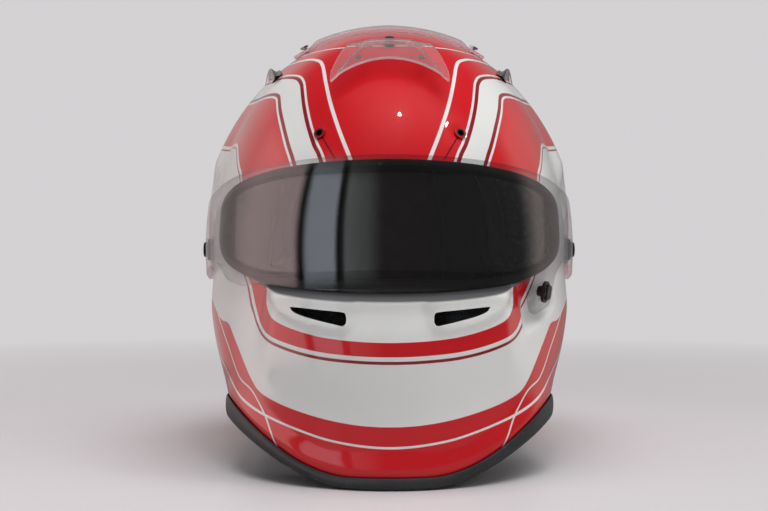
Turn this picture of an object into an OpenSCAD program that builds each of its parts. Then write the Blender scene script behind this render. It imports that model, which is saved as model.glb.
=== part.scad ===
// Full-face car racing helmet with a hinged visor and clear air deflectors.
// Z is up, the wearer looks along -Y, and the bottom trim rests on Z = 0.

/* [Shell] */
// Half width of the shell under the visor's pivots
pivot_half_width = 116; // [112:0.5:120]
// Half width that the sides swell to behind the pivots
side_half_width = 140; // [134:0.5:146]
// Distance from the visor's axis to the brow
face_radius = 146; // [143:0.5:149]
// Rise of the crown above the visor's axis
crown_rise = 143; // [138:0.5:148]
// Reach of the back behind the visor's axis
back_reach = 169.5; // [164:0.5:176]
// Reach of the chin from the visor's axis, forward and down
chin_reach = 197; // [193:0.5:201]
// Height of the visor's axis above the table
axis_height = 133; // [130:0.5:136]
// How far the visor's axis lies behind the origin
axis_back = -5; // [-12:0.5:4]
// Wall of the composite shell
shell_wall = 3.5; // [2.5:0.1:4.5]
// Roundness of the cross sections, 2 is an ellipse
roundness = 2.09; // [2:0.01:2.3]
// How far the chin stands out under the visor
chin_ledge = 14.3; // [8:0.1:15]

/* [Bottom edge] */
// Height of the rubber trim at the chin and the back
trim_height = 7; // [6:0.5:9]
// Extra height of the trim at the sides
trim_side_extra = 6; // [0:0.5:8]
// How far the edge rises at the sides
side_lift = 37; // [30:0.5:42]
// Depth of the groove that takes the shell's edge
groove_depth = 3.2; // [2.5:0.1:5]
// Thickness of the trim's lips
trim_lip = 1.9; // [1.4:0.1:2.6]
// Outward flare of the chin's lower edge
chin_flare = 4.5; // [0:0.5:6]
// Outward flare of the rear edge
rear_flare = 4; // [0:0.5:6]

/* [Eyeport and visor] */
// Upper edge of the eyeport in the middle, degrees above level
eyeport_top = 20.2; // [19:0.1:21]
// Lower edge of the eyeport in the middle, degrees above level
eyeport_bottom = -8.9; // [-9.2:0.1:-7]
// Angle to each side that the eyeport reaches
eyeport_side = 59.6; // [56:0.2:61]
// Width of the gasket's outer lip over the shell
gasket_lip = 2.6; // [2:0.1:3.2]
// Thickness of the gasket's lips
gasket_wall = 0.9; // [0.6:0.1:1]
// Space between the shell and the visor
visor_gap = 3.0; // [2.7:0.1:4]
// Thickness of the polycarbonate visor
visor_wall = 2.8; // [2:0.1:3.2]
// Half height of the visor's arms at the pivots
arm_half_height = 20; // [18:0.5:22]
// Thickness of the clear inner pane
pane_wall = 0.7; // [0.5:0.1:0.8]
// Furthest opening of the visor, degrees
visor_travel = 33; // [30:0.5:34]

/* [Pivot hardware] */
// Radius of the pivot screw's smooth shoulder
shoulder_radius = 4; // [3:0.25:4.5]
// Radius of the pivot screw's thread
thread_radius = 2.5; // [2:0.25:2.75]
// Radius of the pivot screw's head
knob_radius = 5; // [4.9:0.1:6]
// Outer radius of the bush in the visor's arm
bush_radius = 7.2; // [6.5:0.1:8]
// Radius of the seat that carries the bush
seat_radius = 9; // [8.5:0.25:10]
// Running clearance, radial
running_fit = 0.05; // [0.02:0.01:0.1]
// Space that separates pieces that move past each other
free_gap = 0.3; // [0.3:0.05:0.4]

/* [Lining] */
// Thickness of the crown's energy absorbing foam at the sides
foam_side = 26; // [22:1:30]
// Thickness of the comfort pad in the crown
pad_wall = 9; // [6:0.5:12]
// Thickness of the chin bar's foam
chin_foam_wall = 22; // [15:1:26]
// Thickness of the cheek pads
cheek_wall = 32; // [24:1:36]
// Thickness of the neck roll
neck_wall = 20; // [14:1:24]

/* [Air pieces] */
// Thickness of the clear deflectors
clear_wall = 1.8; // [1.4:0.1:2.4]
// Space under the front deflector, above the shell
deflector_lift = 7.6; // [7.2:0.1:9]
// Space under the rear spoiler's ridge
spoiler_lift = 7; // [3:0.5:8]
// Height of the side strakes
strake_height = 5.5; // [3:0.5:7]
// Radius of the forehead air ports
port_radius = 1.7; // [1.2:0.1:2]

/* [Anchors] */
// Bore radius of the threaded restraint anchors
anchor_bore = 2.5; // [2:0.1:3]
// Outer radius of the threaded restraint anchors
anchor_radius = 5; // [4.2:0.1:6]
// Length of the threaded restraint anchors inside the shell
anchor_depth = 8; // [6:0.5:9]
// Length of the threaded restraint anchors outside the shell
anchor_reach = 9.6; // [8:0.2:11]
// Width of the chin strap
strap_width = 22; // [18:1:26]
// Thickness of the chin strap
strap_wall = 1.6; // [1.2:0.1:2]
// Travel of the visor's lock button
button_travel = 1.5; // [0.8:0.1:1.5]

/* [Hidden] */

centre = [0, axis_back, axis_height];
visor_inner_half = pivot_half_width + visor_gap - 0.6;
visor_outer_half = visor_inner_half + visor_wall;
visor_inner_radius = face_radius + visor_gap;
visor_outer_radius = visor_inner_radius + visor_wall;
bush_from = pivot_half_width + visor_gap - 0.8;
bush_to = bush_from + visor_wall + 0.5;
ledge_start = eyeport_bottom - 1.0;
ledge_end = ledge_start - 1.0;
arm_angle = 9;
arm_root = 76;
arm_top_extra = 6;
lock_side = 41.6;
lock_height = -14.3;
// Angle that the visor's upper edge reaches when it is open
raised_edge = eyeport_top + 0.1 + visor_travel;

// Side profile: angle above the forward level line, then distance from the visor's axis
PROFILE = [
    [-130, chin_reach - 21], [-100, chin_reach - 34], [-75, chin_reach - 21], [-60, chin_reach - 7],
    [-50, chin_reach + 3], [-39, chin_reach], [-30, 178.5], [-23, 165], [-18, 156.5],
    [-13, face_radius + 1.5], [-10, face_radius], [-4, face_radius], [25, face_radius],
    [60, face_radius], [75, face_radius - 1.5], [90, crown_rise], [105, crown_rise + 3],
    [120, crown_rise + 11], [135, crown_rise + 20], [153, back_reach + 3], [168, back_reach + 2.5],
    [180, back_reach], [190, back_reach - 2.5], [200, back_reach - 4], [212, back_reach - 4],
    [222, back_reach + 13]
];
// Half width of the cross sections, by the same angle
WIDTHS = [
    [-130, side_half_width - 22], [-90, pivot_half_width - 6], [-50, pivot_half_width + 2],
    [-20, pivot_half_width], [66, pivot_half_width], [90, side_half_width - 14],
    [120, side_half_width - 8.5], [180, side_half_width], [205, side_half_width - 9]
];

// Numbers
function smooth(t) = let (c = min(1, max(0, t))) c * c * (3 - 2 * c);
function unit(v) = v / norm(v);
function turn_into(x, k) = let (a = (x - k[0][0]) % 360) (a < 0 ? a + 360 : a) + k[0][0];
function first_after(x, k, i = 1) = (i >= len(k) || k[i][0] > x) ? i : first_after(x, k, i + 1);
function knot(k, i) =
    i < 0 ? k[len(k) + i] - [360, 0] : i >= len(k) ? k[i - len(k)] + [360, 0] : k[i];
// Smooth closed curve of a value over 360 degrees through a list of knots
function around(angle, k) =
    let (x = turn_into(angle, k), i = first_after(x, k) - 1,
         a = knot(k, i - 1), b = knot(k, i), c = knot(k, i + 1), d = knot(k, i + 2),
         h = c[0] - b[0], t = (x - b[0]) / h,
         m = (c[1] - a[1]) / (c[0] - a[0]), n = (d[1] - b[1]) / (d[0] - b[0]))
    (2 * t * t * t - 3 * t * t + 1) * b[1] + (t * t * t - 2 * t * t + t) * h * m
    + (-2 * t * t * t + 3 * t * t) * c[1] + (t * t * t - t * t) * h * n;

// The outer surface, as a distance from the centre in each direction
function chin_part(side, phi) =
    chin_ledge * (1 - smooth((side - 25) / 8)) * (1 - smooth((ledge_end - phi) / 26))
    * smooth((ledge_start - phi) / (ledge_start - ledge_end));
function lock_recess(lam, phi) =
    smooth((lam - 32) / 3) * (1 - smooth((lam - 47) / 4)) * smooth((phi + 24.5) / 3) * smooth(-phi / 4);
function reach(lam, phi) =
    let (r = around(phi, PROFILE) + chin_part(abs(lam), phi))
    r - max(0, r - face_radius) * lock_recess(lam, phi);
function skin(d, off = 0) =
    let (dx = max(abs(d.x), 0.000001), c = norm([d.y, d.z]), phi = atan2(d.z, -d.y),
         lam = atan2(d.x, c),
         far = smooth((pivot_half_width * c / dx - 30) / 30),
         half = pivot_half_width + far * (around(phi, WIDTHS) - pivot_half_width) + off,
         r = reach(lam, phi) + off,
         n = roundness - 0.04 * smooth(-2.5 * d.z))
    pow(pow(dx / half, n) + pow(c / r, n), -1 / n);
function aim(lam, phi) = [sin(lam), -cos(lam) * cos(phi), cos(lam) * sin(phi)];
function turn(th, el) = [sin(th) * cos(el), -cos(th) * cos(el), sin(el)];
function skin_at(lam, phi, off = 0) = let (d = aim(lam, phi)) centre + skin(d, off) * d;
function skin_normal(lam, phi) =
    unit(cross(skin_at(lam + 0.5, phi) - skin_at(lam - 0.5, phi),
               skin_at(lam, phi + 0.5) - skin_at(lam, phi - 0.5)));

// The bottom edge, by the angle from straight ahead
function edge_height(th) =
    trim_height + side_lift * (smooth((th - 8) / 42) - smooth((th - 95) / 50));
function edge_trim(th) =
    trim_height + trim_side_extra * (smooth((th - 15) / 35) - smooth((th - 105) / 38));
function level_el(th, z, off, lo = -80, hi = 88, n = 22) =
    n == 0 ? (lo + hi) / 2 :
    let (mid = (lo + hi) / 2, d = turn(th, mid), over = axis_height + skin(d, off) * d.z > z)
    over ? level_el(th, z, off, lo, mid, n - 1) : level_el(th, z, off, mid, hi, n - 1);
function flared(p) =
    let (th = abs(atan2(p.x, axis_back - p.y)), h = max(0, p.z - edge_height(th)),
         amp = (chin_flare * (1 - smooth((th - 35) / 30)) + rear_flare * smooth((th - 130) / 30))
               * exp(-h * h / 81),
         out = unit([p.x, p.y - axis_back, 0]))
    p + amp * out;
function level_point(th, z, off) =
    let (d = turn(th, level_el(th, z, off))) centre + skin(d, off) * d;

// Closed solids from grids of points, turned the right way out
function tetra(p, f) = cross(p[f[0]], p[f[1]]) * p[f[2]];
function total(v, i = 0, s = 0) = i == len(v) ? s : total(v, i + 1, s + v[i]);
module solid(p, f) {
    outward = total([for (t = f) tetra(p, t)]) < 0;
    polyhedron(points = p, faces = outward ? f : [for (t = f) [t[2], t[1], t[0]]], convexity = 6);
}
function quad(a, b, c, d) = [[a, b, c], [a, c, d]];
// A plate between two sheets of points with the same rows and columns
module plate(top, under) {
    n = len(top);
    m = len(top[0]);
    p = [for (r = top) each r, for (r = under) each r];
    k = n * m;
    f = [
        for (i = [0:n - 2], j = [0:m - 2]) let (a = i * m + j)
            each concat(quad(a, a + 1, a + m + 1, a + m),
                        quad(k + a, k + a + m, k + a + m + 1, k + a + 1)),
        for (i = [0:n - 2]) let (a = i * m, b = i * m + m - 1)
            each concat(quad(a, a + m, k + a + m, k + a), quad(b, k + b, k + b + m, b + m)),
        for (j = [0:m - 2]) let (a = j, b = (n - 1) * m + j)
            each concat(quad(a, k + a, k + a + 1, a + 1), quad(b, b + 1, k + b + 1, k + b))
    ];
    solid(p, f);
}
// A ring of closed sections
module ring(sections) {
    n = len(sections);
    m = len(sections[0]);
    p = [for (s = sections) each s];
    f = [
        for (i = [0:n - 1], j = [0:m - 1])
            let (a = i * m + j, b = i * m + (j + 1) % m, c = ((i + 1) % n) * m + (j + 1) % m,
                 d = ((i + 1) % n) * m + j)
            each quad(a, b, c, d)
    ];
    solid(p, f);
}
// A bowl, open downward: rings of points from the rim up to one top point, outside and inside
module bowl(outer, outer_top, inner, inner_top) {
    n = len(outer);
    m = len(outer[0]);
    k = n * m;
    p = [for (r = outer) each r, for (r = inner) each r, outer_top, inner_top];
    f = [
        for (i = [0:n - 2], j = [0:m - 1])
            let (a = i * m + j, b = i * m + (j + 1) % m)
            each concat(quad(a, b, b + m, a + m), quad(k + a, k + a + m, k + b + m, k + b)),
        for (j = [0:m - 1]) let (a = (n - 1) * m + j, b = (n - 1) * m + (j + 1) % m)
            each [[a, b, 2 * k], [k + b, k + a, 2 * k + 1]],
        for (j = [0:m - 1]) let (b = (j + 1) % m) each quad(j, k + j, k + b, b)
    ];
    solid(p, f);
}
// Places a piece with its +Z along the shell's outward normal
module on_skin(lam, phi, off = 0) {
    n = skin_normal(lam, phi);
    translate(skin_at(lam, phi) + off * n)
        rotate([0, acos(n.z), atan2(n.y, n.x)])
            children();
}
module sides(left) {
    mirror([left ? 0 : 1, 0, 0]) children();
}
// A flat-sided oval, its long side along X
module oval(r, half, h) {
    for (s = [-1, 1]) translate([s * half, 0, 0]) cylinder(r = r, h = h, $fn = 32);
    translate([-half, -r, 0]) cube([2 * half, 2 * r, h]);
}

// Outer shell
shell_step = 6;
// Share of the way from the rim to the chin ledge, then from there to the crown
low_rows = [0, 0.05, 0.1, 0.18, 0.3, 0.45, 0.6, 0.75, 0.88];
high_rows = [0.03, 0.1, 0.2, 0.3, 0.4, 0.5, 0.6, 0.7, 0.8, 0.9, 0.96];
function ledge_el(th, phi) =
    atan(tan(phi) * (0.45 + 0.55 * max(0, cos(min(th, 90)))));
function shell_el(th, low, off) =
    let (a = abs(th), rim = level_el(a, edge_height(a) - groove_depth + 0.2, off),
         lo = ledge_el(a, ledge_end), hi = ledge_el(a, ledge_start))
    low < 1 ? rim + (lo - rim) * low : low == 1 ? lo : low == 2 ? (lo + hi) / 2 :
    low == 3 ? hi : hi + (90 - hi) * (low - 3);
shell_rows = concat(low_rows, [1, 2, 3], [for (h = high_rows) 3 + h]);
function shell_ring(row, off) = [
    for (th = [0:shell_step:359])
        let (t = th > 180 ? th - 360 : th, d = turn(t, shell_el(t, row, off)))
        flared(centre + skin(d, off) * d)
];

// Outline of the eyeport as angles to the side and above level
function port_top(lam) = eyeport_top + 10.5 * pow(abs(lam) / eyeport_side, 2.2);
function port_bottom(lam) = eyeport_bottom - 1.7 * smooth(abs(lam) / 36);
function port_edge(u) =
    let (p = sin(u) >= 0 ? 8 : 3.4, c = cos(u), s = sin(u),
         lam = eyeport_side * sign(c) * pow(abs(c), 2 / p), top = port_top(lam), low = port_bottom(lam),
         mid = (top + low) / 2, half = (top - low) / 2)
    [lam, mid + half * sign(s) * pow(abs(s), 2 / p)];
port_steps = 72;
function port_u(i) =
    let (v = 4 * i / port_steps, q = floor(v), f = v - q,
         bow = f + 0.16 * sin(360 * f) / 2)
    90 * (q + bow);
function port_frame(i) =
    let (a = port_edge(port_u(i - 0.3)), b = port_edge(port_u(i)), c = port_edge(port_u(i + 0.3)),
         e = skin_at(b[0], b[1]), t = unit(skin_at(c[0], c[1]) - skin_at(a[0], a[1])),
         n = unit(e - centre))
    [e, unit(cross(t, n))];
// A point beside the eyeport's edge: g outward along the surface, k above the surface
function port_point(i, g, k) =
    let (f = port_frame(i), d = unit(f[0] + g * f[1] - centre)) centre + (skin(d) + k) * d;

module eyeport_cutter() {
    inner = [for (i = [0:port_steps - 1]) centre + 0.7 * (port_point(i, -gasket_lip, 0) - centre)];
    outer = [for (i = [0:port_steps - 1]) centre + 1.8 * (port_point(i, -gasket_lip, 0) - centre)];
    n = port_steps;
    a = centre + [0, -0.5 * face_radius, 0.1 * face_radius];
    b = centre + [0, -1.9 * face_radius, 0.2 * face_radius];
    solid(concat(inner, outer, [a, b]), [
        for (i = [0:n - 1]) let (j = (i + 1) % n)
            each concat(quad(i, j, n + j, n + i), [[j, i, 2 * n], [n + i, n + j, 2 * n + 1]])
    ]);
}
// Openings for air, as pairs of round ends: x, z, radius at each end
vent_inner_end = [28.2, 94.3, 3.7];
vent_outer_end = [53.4, 98.1, 1.4];
module chin_vent_cutter() {
    hull() {
        for (e = [vent_inner_end, vent_outer_end])
            translate([e[0], axis_back - chin_reach, e[1]])
                rotate([-90, 0, 0]) cylinder(r = e[2], h = 80, $fn = 20);
    }
}
rear_vent_side = 17;
rear_vent_height = 166;
rear_vent_length = 11;
rear_vent_radius = 3.5;
module rear_vent_cutter() {
    hull() {
        for (s = [-1, 1])
            on_skin(rear_vent_side + s * rear_vent_length * 0.33, rear_vent_height, -8)
                cylinder(r = rear_vent_radius, h = 14, $fn = 20);
    }
}
module drill(lam, phi, r) {
    hull() on_skin(lam, phi, -10) cylinder(r = r, h = 16, $fn = 24);
}
anchor_side = 36.5;
anchor_height = 203.5;
rivet_side = 57.2;
rivet_height = 249;
port_lam = 16.4;
port_phi = 28.9;
foot_phi = raised_edge + 4.8;
spoiler_screw_spots = [[22.5, 84], [22.5, 138]];
hole_gap = 0.25;
screw_radius = 1.5;
module outer_shell() {
    color("firebrick")
        difference() {
            bowl([for (r = shell_rows) shell_ring(r, 0)], skin_at(0, 90),
                 [for (r = shell_rows) shell_ring(r, -shell_wall)], skin_at(0, 90, -shell_wall));
            eyeport_cutter();
            for (left = [true, false])
                sides(left) {
                    chin_vent_cutter();
                    rear_vent_cutter();
                    drill(port_lam, port_phi, port_radius + 0.9 + hole_gap);
                    drill(anchor_side, anchor_height, anchor_radius + hole_gap);
                    drill(rivet_side, rivet_height, rivet_radius + hole_gap);
                    hull()
                        on_skin(rivet_side, rivet_height, -1.7)
                            cylinder(r = rivet_head + hole_gap, h = 16, $fn = 24);
                    for (s = spoiler_screw_spots) drill(s[0], s[1], screw_radius + hole_gap);
                    hull()
                        translate([pivot_half_width - 12, axis_back, axis_height])
                            rotate([0, 90, 0]) cylinder(r = insert_radius + hole_gap, h = 20, $fn = 32);
                }
            drill(0, foot_phi, screw_radius + hole_gap);
        }
}

// Lining
foam_gap = 4.5;
liner_gap = 1.8;
cavity_half_width = pivot_half_width - shell_wall - foam_gap - foam_side;
cavity_front = 98;
cavity_back = 118;
cavity_top = crown_rise - shell_wall - 32;
function cavity(d, grow = 0) =
    let (a = cavity_half_width + grow, b = (d.y < 0 ? cavity_front : cavity_back) + grow,
         c = cavity_top + grow)
    1 / sqrt(pow(d.x / a, 2) + pow(d.y / b, 2) + pow(d.z / c, 2));
function foam_bottom(th) =
    axis_height + 60 - 75 * smooth((th - 58) / 14) - 56 * smooth((th - 124) / 18);
function cavity_el(th, z, grow, lo = -75, hi = 88, n = 20) =
    n == 0 ? (lo + hi) / 2 :
    let (mid = (lo + hi) / 2, d = turn(th, mid), over = axis_height + cavity(d, grow) * d.z > z)
    over ? cavity_el(th, z, grow, lo, mid, n - 1) : cavity_el(th, z, grow, mid, hi, n - 1);
foam_step = 10;
foam_rows = [0, 0.12, 0.3, 0.5, 0.7, 0.88];
function foam_ring(row, off) = [
    for (th = [0:foam_step:359])
        let (a = abs(th > 180 ? th - 360 : th), low = level_el(a, foam_bottom(a), off),
             d = turn(th, low + (90 - low) * row))
        centre + skin(d, off) * d
];
function cavity_ring(row, grow, lift) = [
    for (th = [0:foam_step:359])
        let (a = abs(th > 180 ? th - 360 : th), low = cavity_el(a, foam_bottom(a) + lift, grow),
             d = turn(th, low + (90 - low) * row))
        centre + cavity(d, grow) * d
];
foam_off = -shell_wall - foam_gap;
module crown_foam() {
    color("dimgray")
        difference() {
            bowl([for (r = foam_rows) foam_ring(r, foam_off)], skin_at(0, 90, foam_off),
                 [for (r = foam_rows) cavity_ring(r, 0, 0)], centre + [0, 0, cavity_top]);
            for (left = [true, false])
                sides(left) on_skin(anchor_side, anchor_height, -anchor_depth - 1)
                    cylinder(r = anchor_radius + 1, h = anchor_depth, $fn = 32);
        }
}
module crown_liner() {
    color("gray")
        bowl([for (r = foam_rows) cavity_ring(r, -liner_gap, 4)],
             centre + [0, 0, cavity_top - liner_gap],
             [for (r = foam_rows) cavity_ring(r, -liner_gap - pad_wall, 4)],
             centre + [0, 0, cavity_top - liner_gap - pad_wall]);
}
// A pad against the inside of the wall, rounded at its rims
module wall_pad(th_from, th_to, low, high, off, thick, steps) {
    across = [0, 0.12, 0.37, 0.63, 0.88, 1];
    function inset(s, v) = thick * (0.35 + 0.65 * pow(max(0, sin(180 * s)), 0.45)
                                    * pow(max(0, sin(180 * (0.06 + 0.88 * v))), 0.4));
    function at(s, v, o) =
        let (th = th_from + (th_to - th_from) * s, lo = edge_height(abs(th)) + low,
             z = lo + (high - lo) * v)
        level_point(th, z, o);
    plate([for (i = [0:steps]) [for (v = across) at(i / steps, v, off)]],
          [for (i = [0:steps]) [for (v = across) at(i / steps, v, off - inset(i / steps, v))]]);
}
pad_off = -shell_wall - 2 * trim_lip;
strap_room = 3;
chin_foam_top = axis_height - 47;
cheek_top = axis_height - 21;
neck_top = 52;
module chin_foam() {
    color("dimgray") wall_pad(-56, 56, 6, chin_foam_top, pad_off, chin_foam_wall, 16);
}
module cheek_pad(left) {
    color("gray")
        sides(left) wall_pad(61, 108, 5, cheek_top, pad_off - strap_room, cheek_wall, 10);
}
module cheek_pad_left() cheek_pad(true);
module cheek_pad_right() cheek_pad(false);
module neck_roll() {
    color("gray") wall_pad(140, 220, 5, neck_top, pad_off, neck_wall, 10);
}

// Rubber around the eyeport and along the bottom
module eyeport_gasket() {
    clear = 0.2;
    w = -shell_wall;
    edge = -gasket_lip;
    profile = [
        [0, 0.05], [-0.5, gasket_wall], [edge - 1.4, gasket_wall], [edge - 2.2, 0.2],
        [edge - 2.2, w - 0.8], [edge - 1.4, w - 1.6], [edge + 2.6, w - 1.4], [edge + 2.6, w - 0.5],
        [edge - clear, w - 0.5], [edge - clear, 0.05]
    ];
    color("black")
        ring([for (i = [0:port_steps - 1]) [for (q = profile) port_point(i, q[0], q[1])]]);
}
trim_step = 5;
function trim_section(th) =
    let (a = abs(th > 180 ? th - 360 : th), top = edge_height(a), tall = edge_trim(a),
         p = flared(level_point(th, top, 0)), out = unit([p.x, p.y - axis_back, 0]),
         w = shell_wall + 0.35, l = trim_lip,
         q = [[0.9, 0], [l, -1.2], [l + 0.5, -0.5 * tall], [l - 0.2, 1.3 - tall], [l - 1.6, -tall],
              [1 - w - l, -tall], [-w - l, 1.3 - tall], [-w - l, -1.2], [-w - 0.7, 0],
              [-w, -0.6], [-w, -groove_depth], [0.35, -groove_depth], [0.35, -0.6]])
    [for (v = q) p + v[0] * out + [0, 0, v[1]]];
module bottom_edge_trim() {
    color("black") ring([for (th = [0:trim_step:359]) trim_section(th)]);
}

// Visor, a surface of revolution about its own axis
function sheet_x(r, half, radius) =
    half * pow(1 - pow(min(r, radius) / radius, roundness), 1 / roundness);
function sheet_reach(d, half, radius) =
    pow(pow(max(abs(d.x), 0.000001) / half, roundness) + pow(norm([d.y, d.z]) / radius, roundness),
        -1 / roundness);
function sheet_at(lam, phi, half, radius) =
    let (d = aim(lam, phi)) centre + sheet_reach(d, half, radius) * d;
function visor_top(lam) = eyeport_top + 0.1 + 8.7 * pow(lam / 54, 2.3);
function visor_low(lam, left) =
    eyeport_bottom - 0.4 - 2.3 * smooth((lam - 31) / 8) + 5.3 * smooth((lam - 45) / 9)
    - (left ? 9 * smooth((lam - 34) / 3) * (1 - smooth((lam - 44.5) / 4)) : 0);
main_stations = [54, 50.5, 48, 46.5, 45, 42.5, 40, 37.5, 36, 34.5, 32, 27, 21, 14, 7];
arm_stations = [68, 58, 46, 34, 22, 11, 0, -8, -14, -18, -19.6];
function arm_round(q) = sqrt(max(0, pow(arm_half_height, 2) - q * q));
function arm_top(q) = q > 0 ? arm_half_height + arm_top_extra * smooth(q / 60) : arm_round(q);
function arm_low(q) = q > 0 ? -arm_half_height : -arm_round(q);
across_visor = [0, 0.06, 0.2, 0.35, 0.5, 0.65, 0.8, 0.94, 1];
function plane_dir(q, w) =
    let (r = norm([q, w]), phi = atan2(w, q) + arm_angle,
         p = [sheet_x(r, visor_outer_half, visor_outer_radius), -r * cos(phi), r * sin(phi)])
    unit(p);
function arm_row(q) =
    [for (v = across_visor) plane_dir(q, arm_low(q) + (arm_top(q) - arm_low(q)) * v)];
function main_row(lam, left) =
    let (low = visor_low(lam, left), top = visor_top(lam))
    [for (v = across_visor) aim(lam, low + (top - low) * v)];
function flip(rows) = [for (r = rows) [for (d = r) [-d.x, d.y, d.z]]];
function reversed(v) = [for (i = [len(v) - 1:-1:0]) v[i]];
function half_visor(left) =
    concat([for (q = reversed(arm_stations)) arm_row(q * arm_half_height / 20)],
           [for (s = main_stations) main_row(s, left)]);
visor_rows = concat(half_visor(true), [main_row(0, false)], reversed(flip(half_visor(false))));
function sheet(rows, half, radius) =
    [for (r = rows) [for (d = r) centre + sheet_reach(d, half, radius) * d]];
module visor() {
    color("lightsteelblue", 0.4)
        difference() {
            plate(sheet(visor_rows, visor_outer_half, visor_outer_radius),
                  sheet(visor_rows, visor_inner_half, visor_inner_radius));
            for (s = [-1, 1])
                translate(centre + [s * visor_inner_half, 0, 0])
                    rotate([0, 90, 0])
                        cylinder(r = bush_radius + hole_gap, h = 20, center = true, $fn = 48);
            on_visor_lock() translate([0, 0, -8]) cylinder(r = lock_neck + hole_gap, h = 16, $fn = 32);
        }
}
pane_side = 44;
module visor_inner_pane() {
    gap = 2 * free_gap;
    stations = [for (i = [-8:8]) pane_side * i / 8];
    levels = [0, 0.25, 0.5, 0.75, 1];
    function row(s) =
        let (low = port_bottom(s) + 4.2 + 3 * pow(abs(s) / pane_side, 6),
             top = port_top(s) - 3.6 - 3 * pow(abs(s) / pane_side, 6))
        [for (v = levels) aim(s, low + (top - low) * v)];
    rows = [for (s = stations) row(s)];
    color("lightcyan", 0.4)
        plate(sheet(rows, visor_inner_half - gap, visor_inner_radius - gap),
              sheet(rows, visor_inner_half - gap - pane_wall, visor_inner_radius - gap - pane_wall));
}

// Pivots
insert_radius = 5;
seat_tall = bush_from - free_gap - pivot_half_width - 0.1;
module pivot_axis(left) {
    translate([0, axis_back, axis_height]) sides(left) rotate([0, 90, 0]) children();
}
module tube(r_in, r_out, from, to) {
    translate([0, 0, from])
        difference() {
            cylinder(r = r_out, h = to - from, $fn = 64);
            translate([0, 0, -1]) cylinder(r = r_in, h = to - from + 2, $fn = 64);
        }
}
module pivot_insert(left) {
    color("silver")
        pivot_axis(left) {
            difference() {
                union() {
                    translate([0, 0, pivot_half_width - shell_wall - 0.3])
                        cylinder(r = insert_radius, h = shell_wall + 0.5, $fn = 64);
                    translate([0, 0, pivot_half_width + 0.1])
                        cylinder(r = seat_radius, h = seat_tall, $fn = 64);
                }
                translate([0, 0, pivot_half_width - shell_wall - 1])
                    cylinder(r = thread_radius + running_fit, h = 20, $fn = 64);
            }
        }
}
module pivot_insert_left() pivot_insert(true);
module pivot_insert_right() pivot_insert(false);
module pivot_bush(left) {
    color("dimgray")
        pivot_axis(left) tube(shoulder_radius + running_fit, bush_radius, bush_from, bush_to);
}
module pivot_bush_left() pivot_bush(true);
module pivot_bush_right() pivot_bush(false);
washer_from = bush_to + free_gap;
washer_wall = 0.5;
module pivot_washer(left) {
    color("silver")
        pivot_axis(left)
            tube(shoulder_radius + running_fit, knob_radius - 0.2, washer_from,
                 washer_from + washer_wall);
}
module pivot_washer_left() pivot_washer(true);
module pivot_washer_right() pivot_washer(false);
knob_from = washer_from + washer_wall + 0.05;
knob_wall = 2.1;
module pivot_screw(left) {
    color("black")
        pivot_axis(left) {
            difference() {
                union() {
                    translate([0, 0, knob_from])
                        cylinder(r = knob_radius, h = knob_wall - 0.5, $fn = 64);
                    translate([0, 0, knob_from + knob_wall - 0.5])
                        cylinder(r1 = knob_radius, r2 = knob_radius - 0.5, h = 0.5, $fn = 64);
                    translate([0, 0, bush_from - free_gap + 0.05])
                        cylinder(r = shoulder_radius, h = knob_from - bush_from + free_gap - 0.05,
                                 $fn = 64);
                    translate([0, 0, pivot_half_width - shell_wall])
                        cylinder(r = thread_radius, h = shell_wall + 3, $fn = 64);
                }
                translate([-knob_radius - 1, -0.6, knob_from + knob_wall - 0.9])
                    cube([2 * knob_radius + 2, 1.2, 2]);
            }
        }
}
module pivot_screw_left() pivot_screw(true);
module pivot_screw_right() pivot_screw(false);

// Lock button in the tab below the visor's left side
lock_neck = 3.2;
bezel_radius = 4;
bezel_half = 2.4;
bezel_wall = 1.5;
button_radius = 2.4;
button_half = 2;
stem_radius = 1.4;
module on_visor_lock() {
    p = sheet_at(lock_side, lock_height, visor_outer_half, visor_outer_radius);
    a = sheet_at(lock_side + 0.5, lock_height, visor_outer_half, visor_outer_radius)
        - sheet_at(lock_side - 0.5, lock_height, visor_outer_half, visor_outer_radius);
    b = sheet_at(lock_side, lock_height + 0.5, visor_outer_half, visor_outer_radius)
        - sheet_at(lock_side, lock_height - 0.5, visor_outer_half, visor_outer_radius);
    n = unit(cross(a, b));
    translate(p) rotate([0, acos(n.z), atan2(n.y, n.x)]) children();
}
module lock_bezel() {
    color("black")
        on_visor_lock()
            difference() {
                union() {
                    translate([0, 0, 0.25]) oval(bezel_radius, bezel_half, bezel_wall);
                    translate([0, 0, -visor_wall - 0.4])
                        cylinder(r = lock_neck, h = visor_wall + 1, $fn = 48);
                }
                translate([0, 0, 0.25 + 0.6]) oval(button_radius + free_gap, button_half, bezel_wall);
                translate([0, 0, -visor_wall + 0.5])
                    cylinder(r = button_radius, h = visor_wall + 1, $fn = 48);
                translate([0, 0, -visor_wall - 2])
                    cylinder(r = stem_radius + running_fit, h = visor_wall + 4, $fn = 48);
            }
}
module lock_button() {
    color("dimgray")
        on_visor_lock() {
            translate([0, 0, 0.85 + button_travel + 0.3]) oval(button_radius, button_half, 1.2);
            translate([0, 0, -visor_wall - 0.2])
                cylinder(r = stem_radius, h = visor_wall + 0.2 + 0.85 + button_travel + 0.5, $fn = 48);
        }
}
module lock_spring() {
    wire = 0.22;
    turns = 4;
    bottom = -visor_wall + 0.5 + 0.3;
    top = 0.85 + button_travel + 0.3 - 0.3;
    color("silver")
        on_visor_lock()
            coil(stem_radius + 0.45, wire, turns, bottom, top);
}
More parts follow.
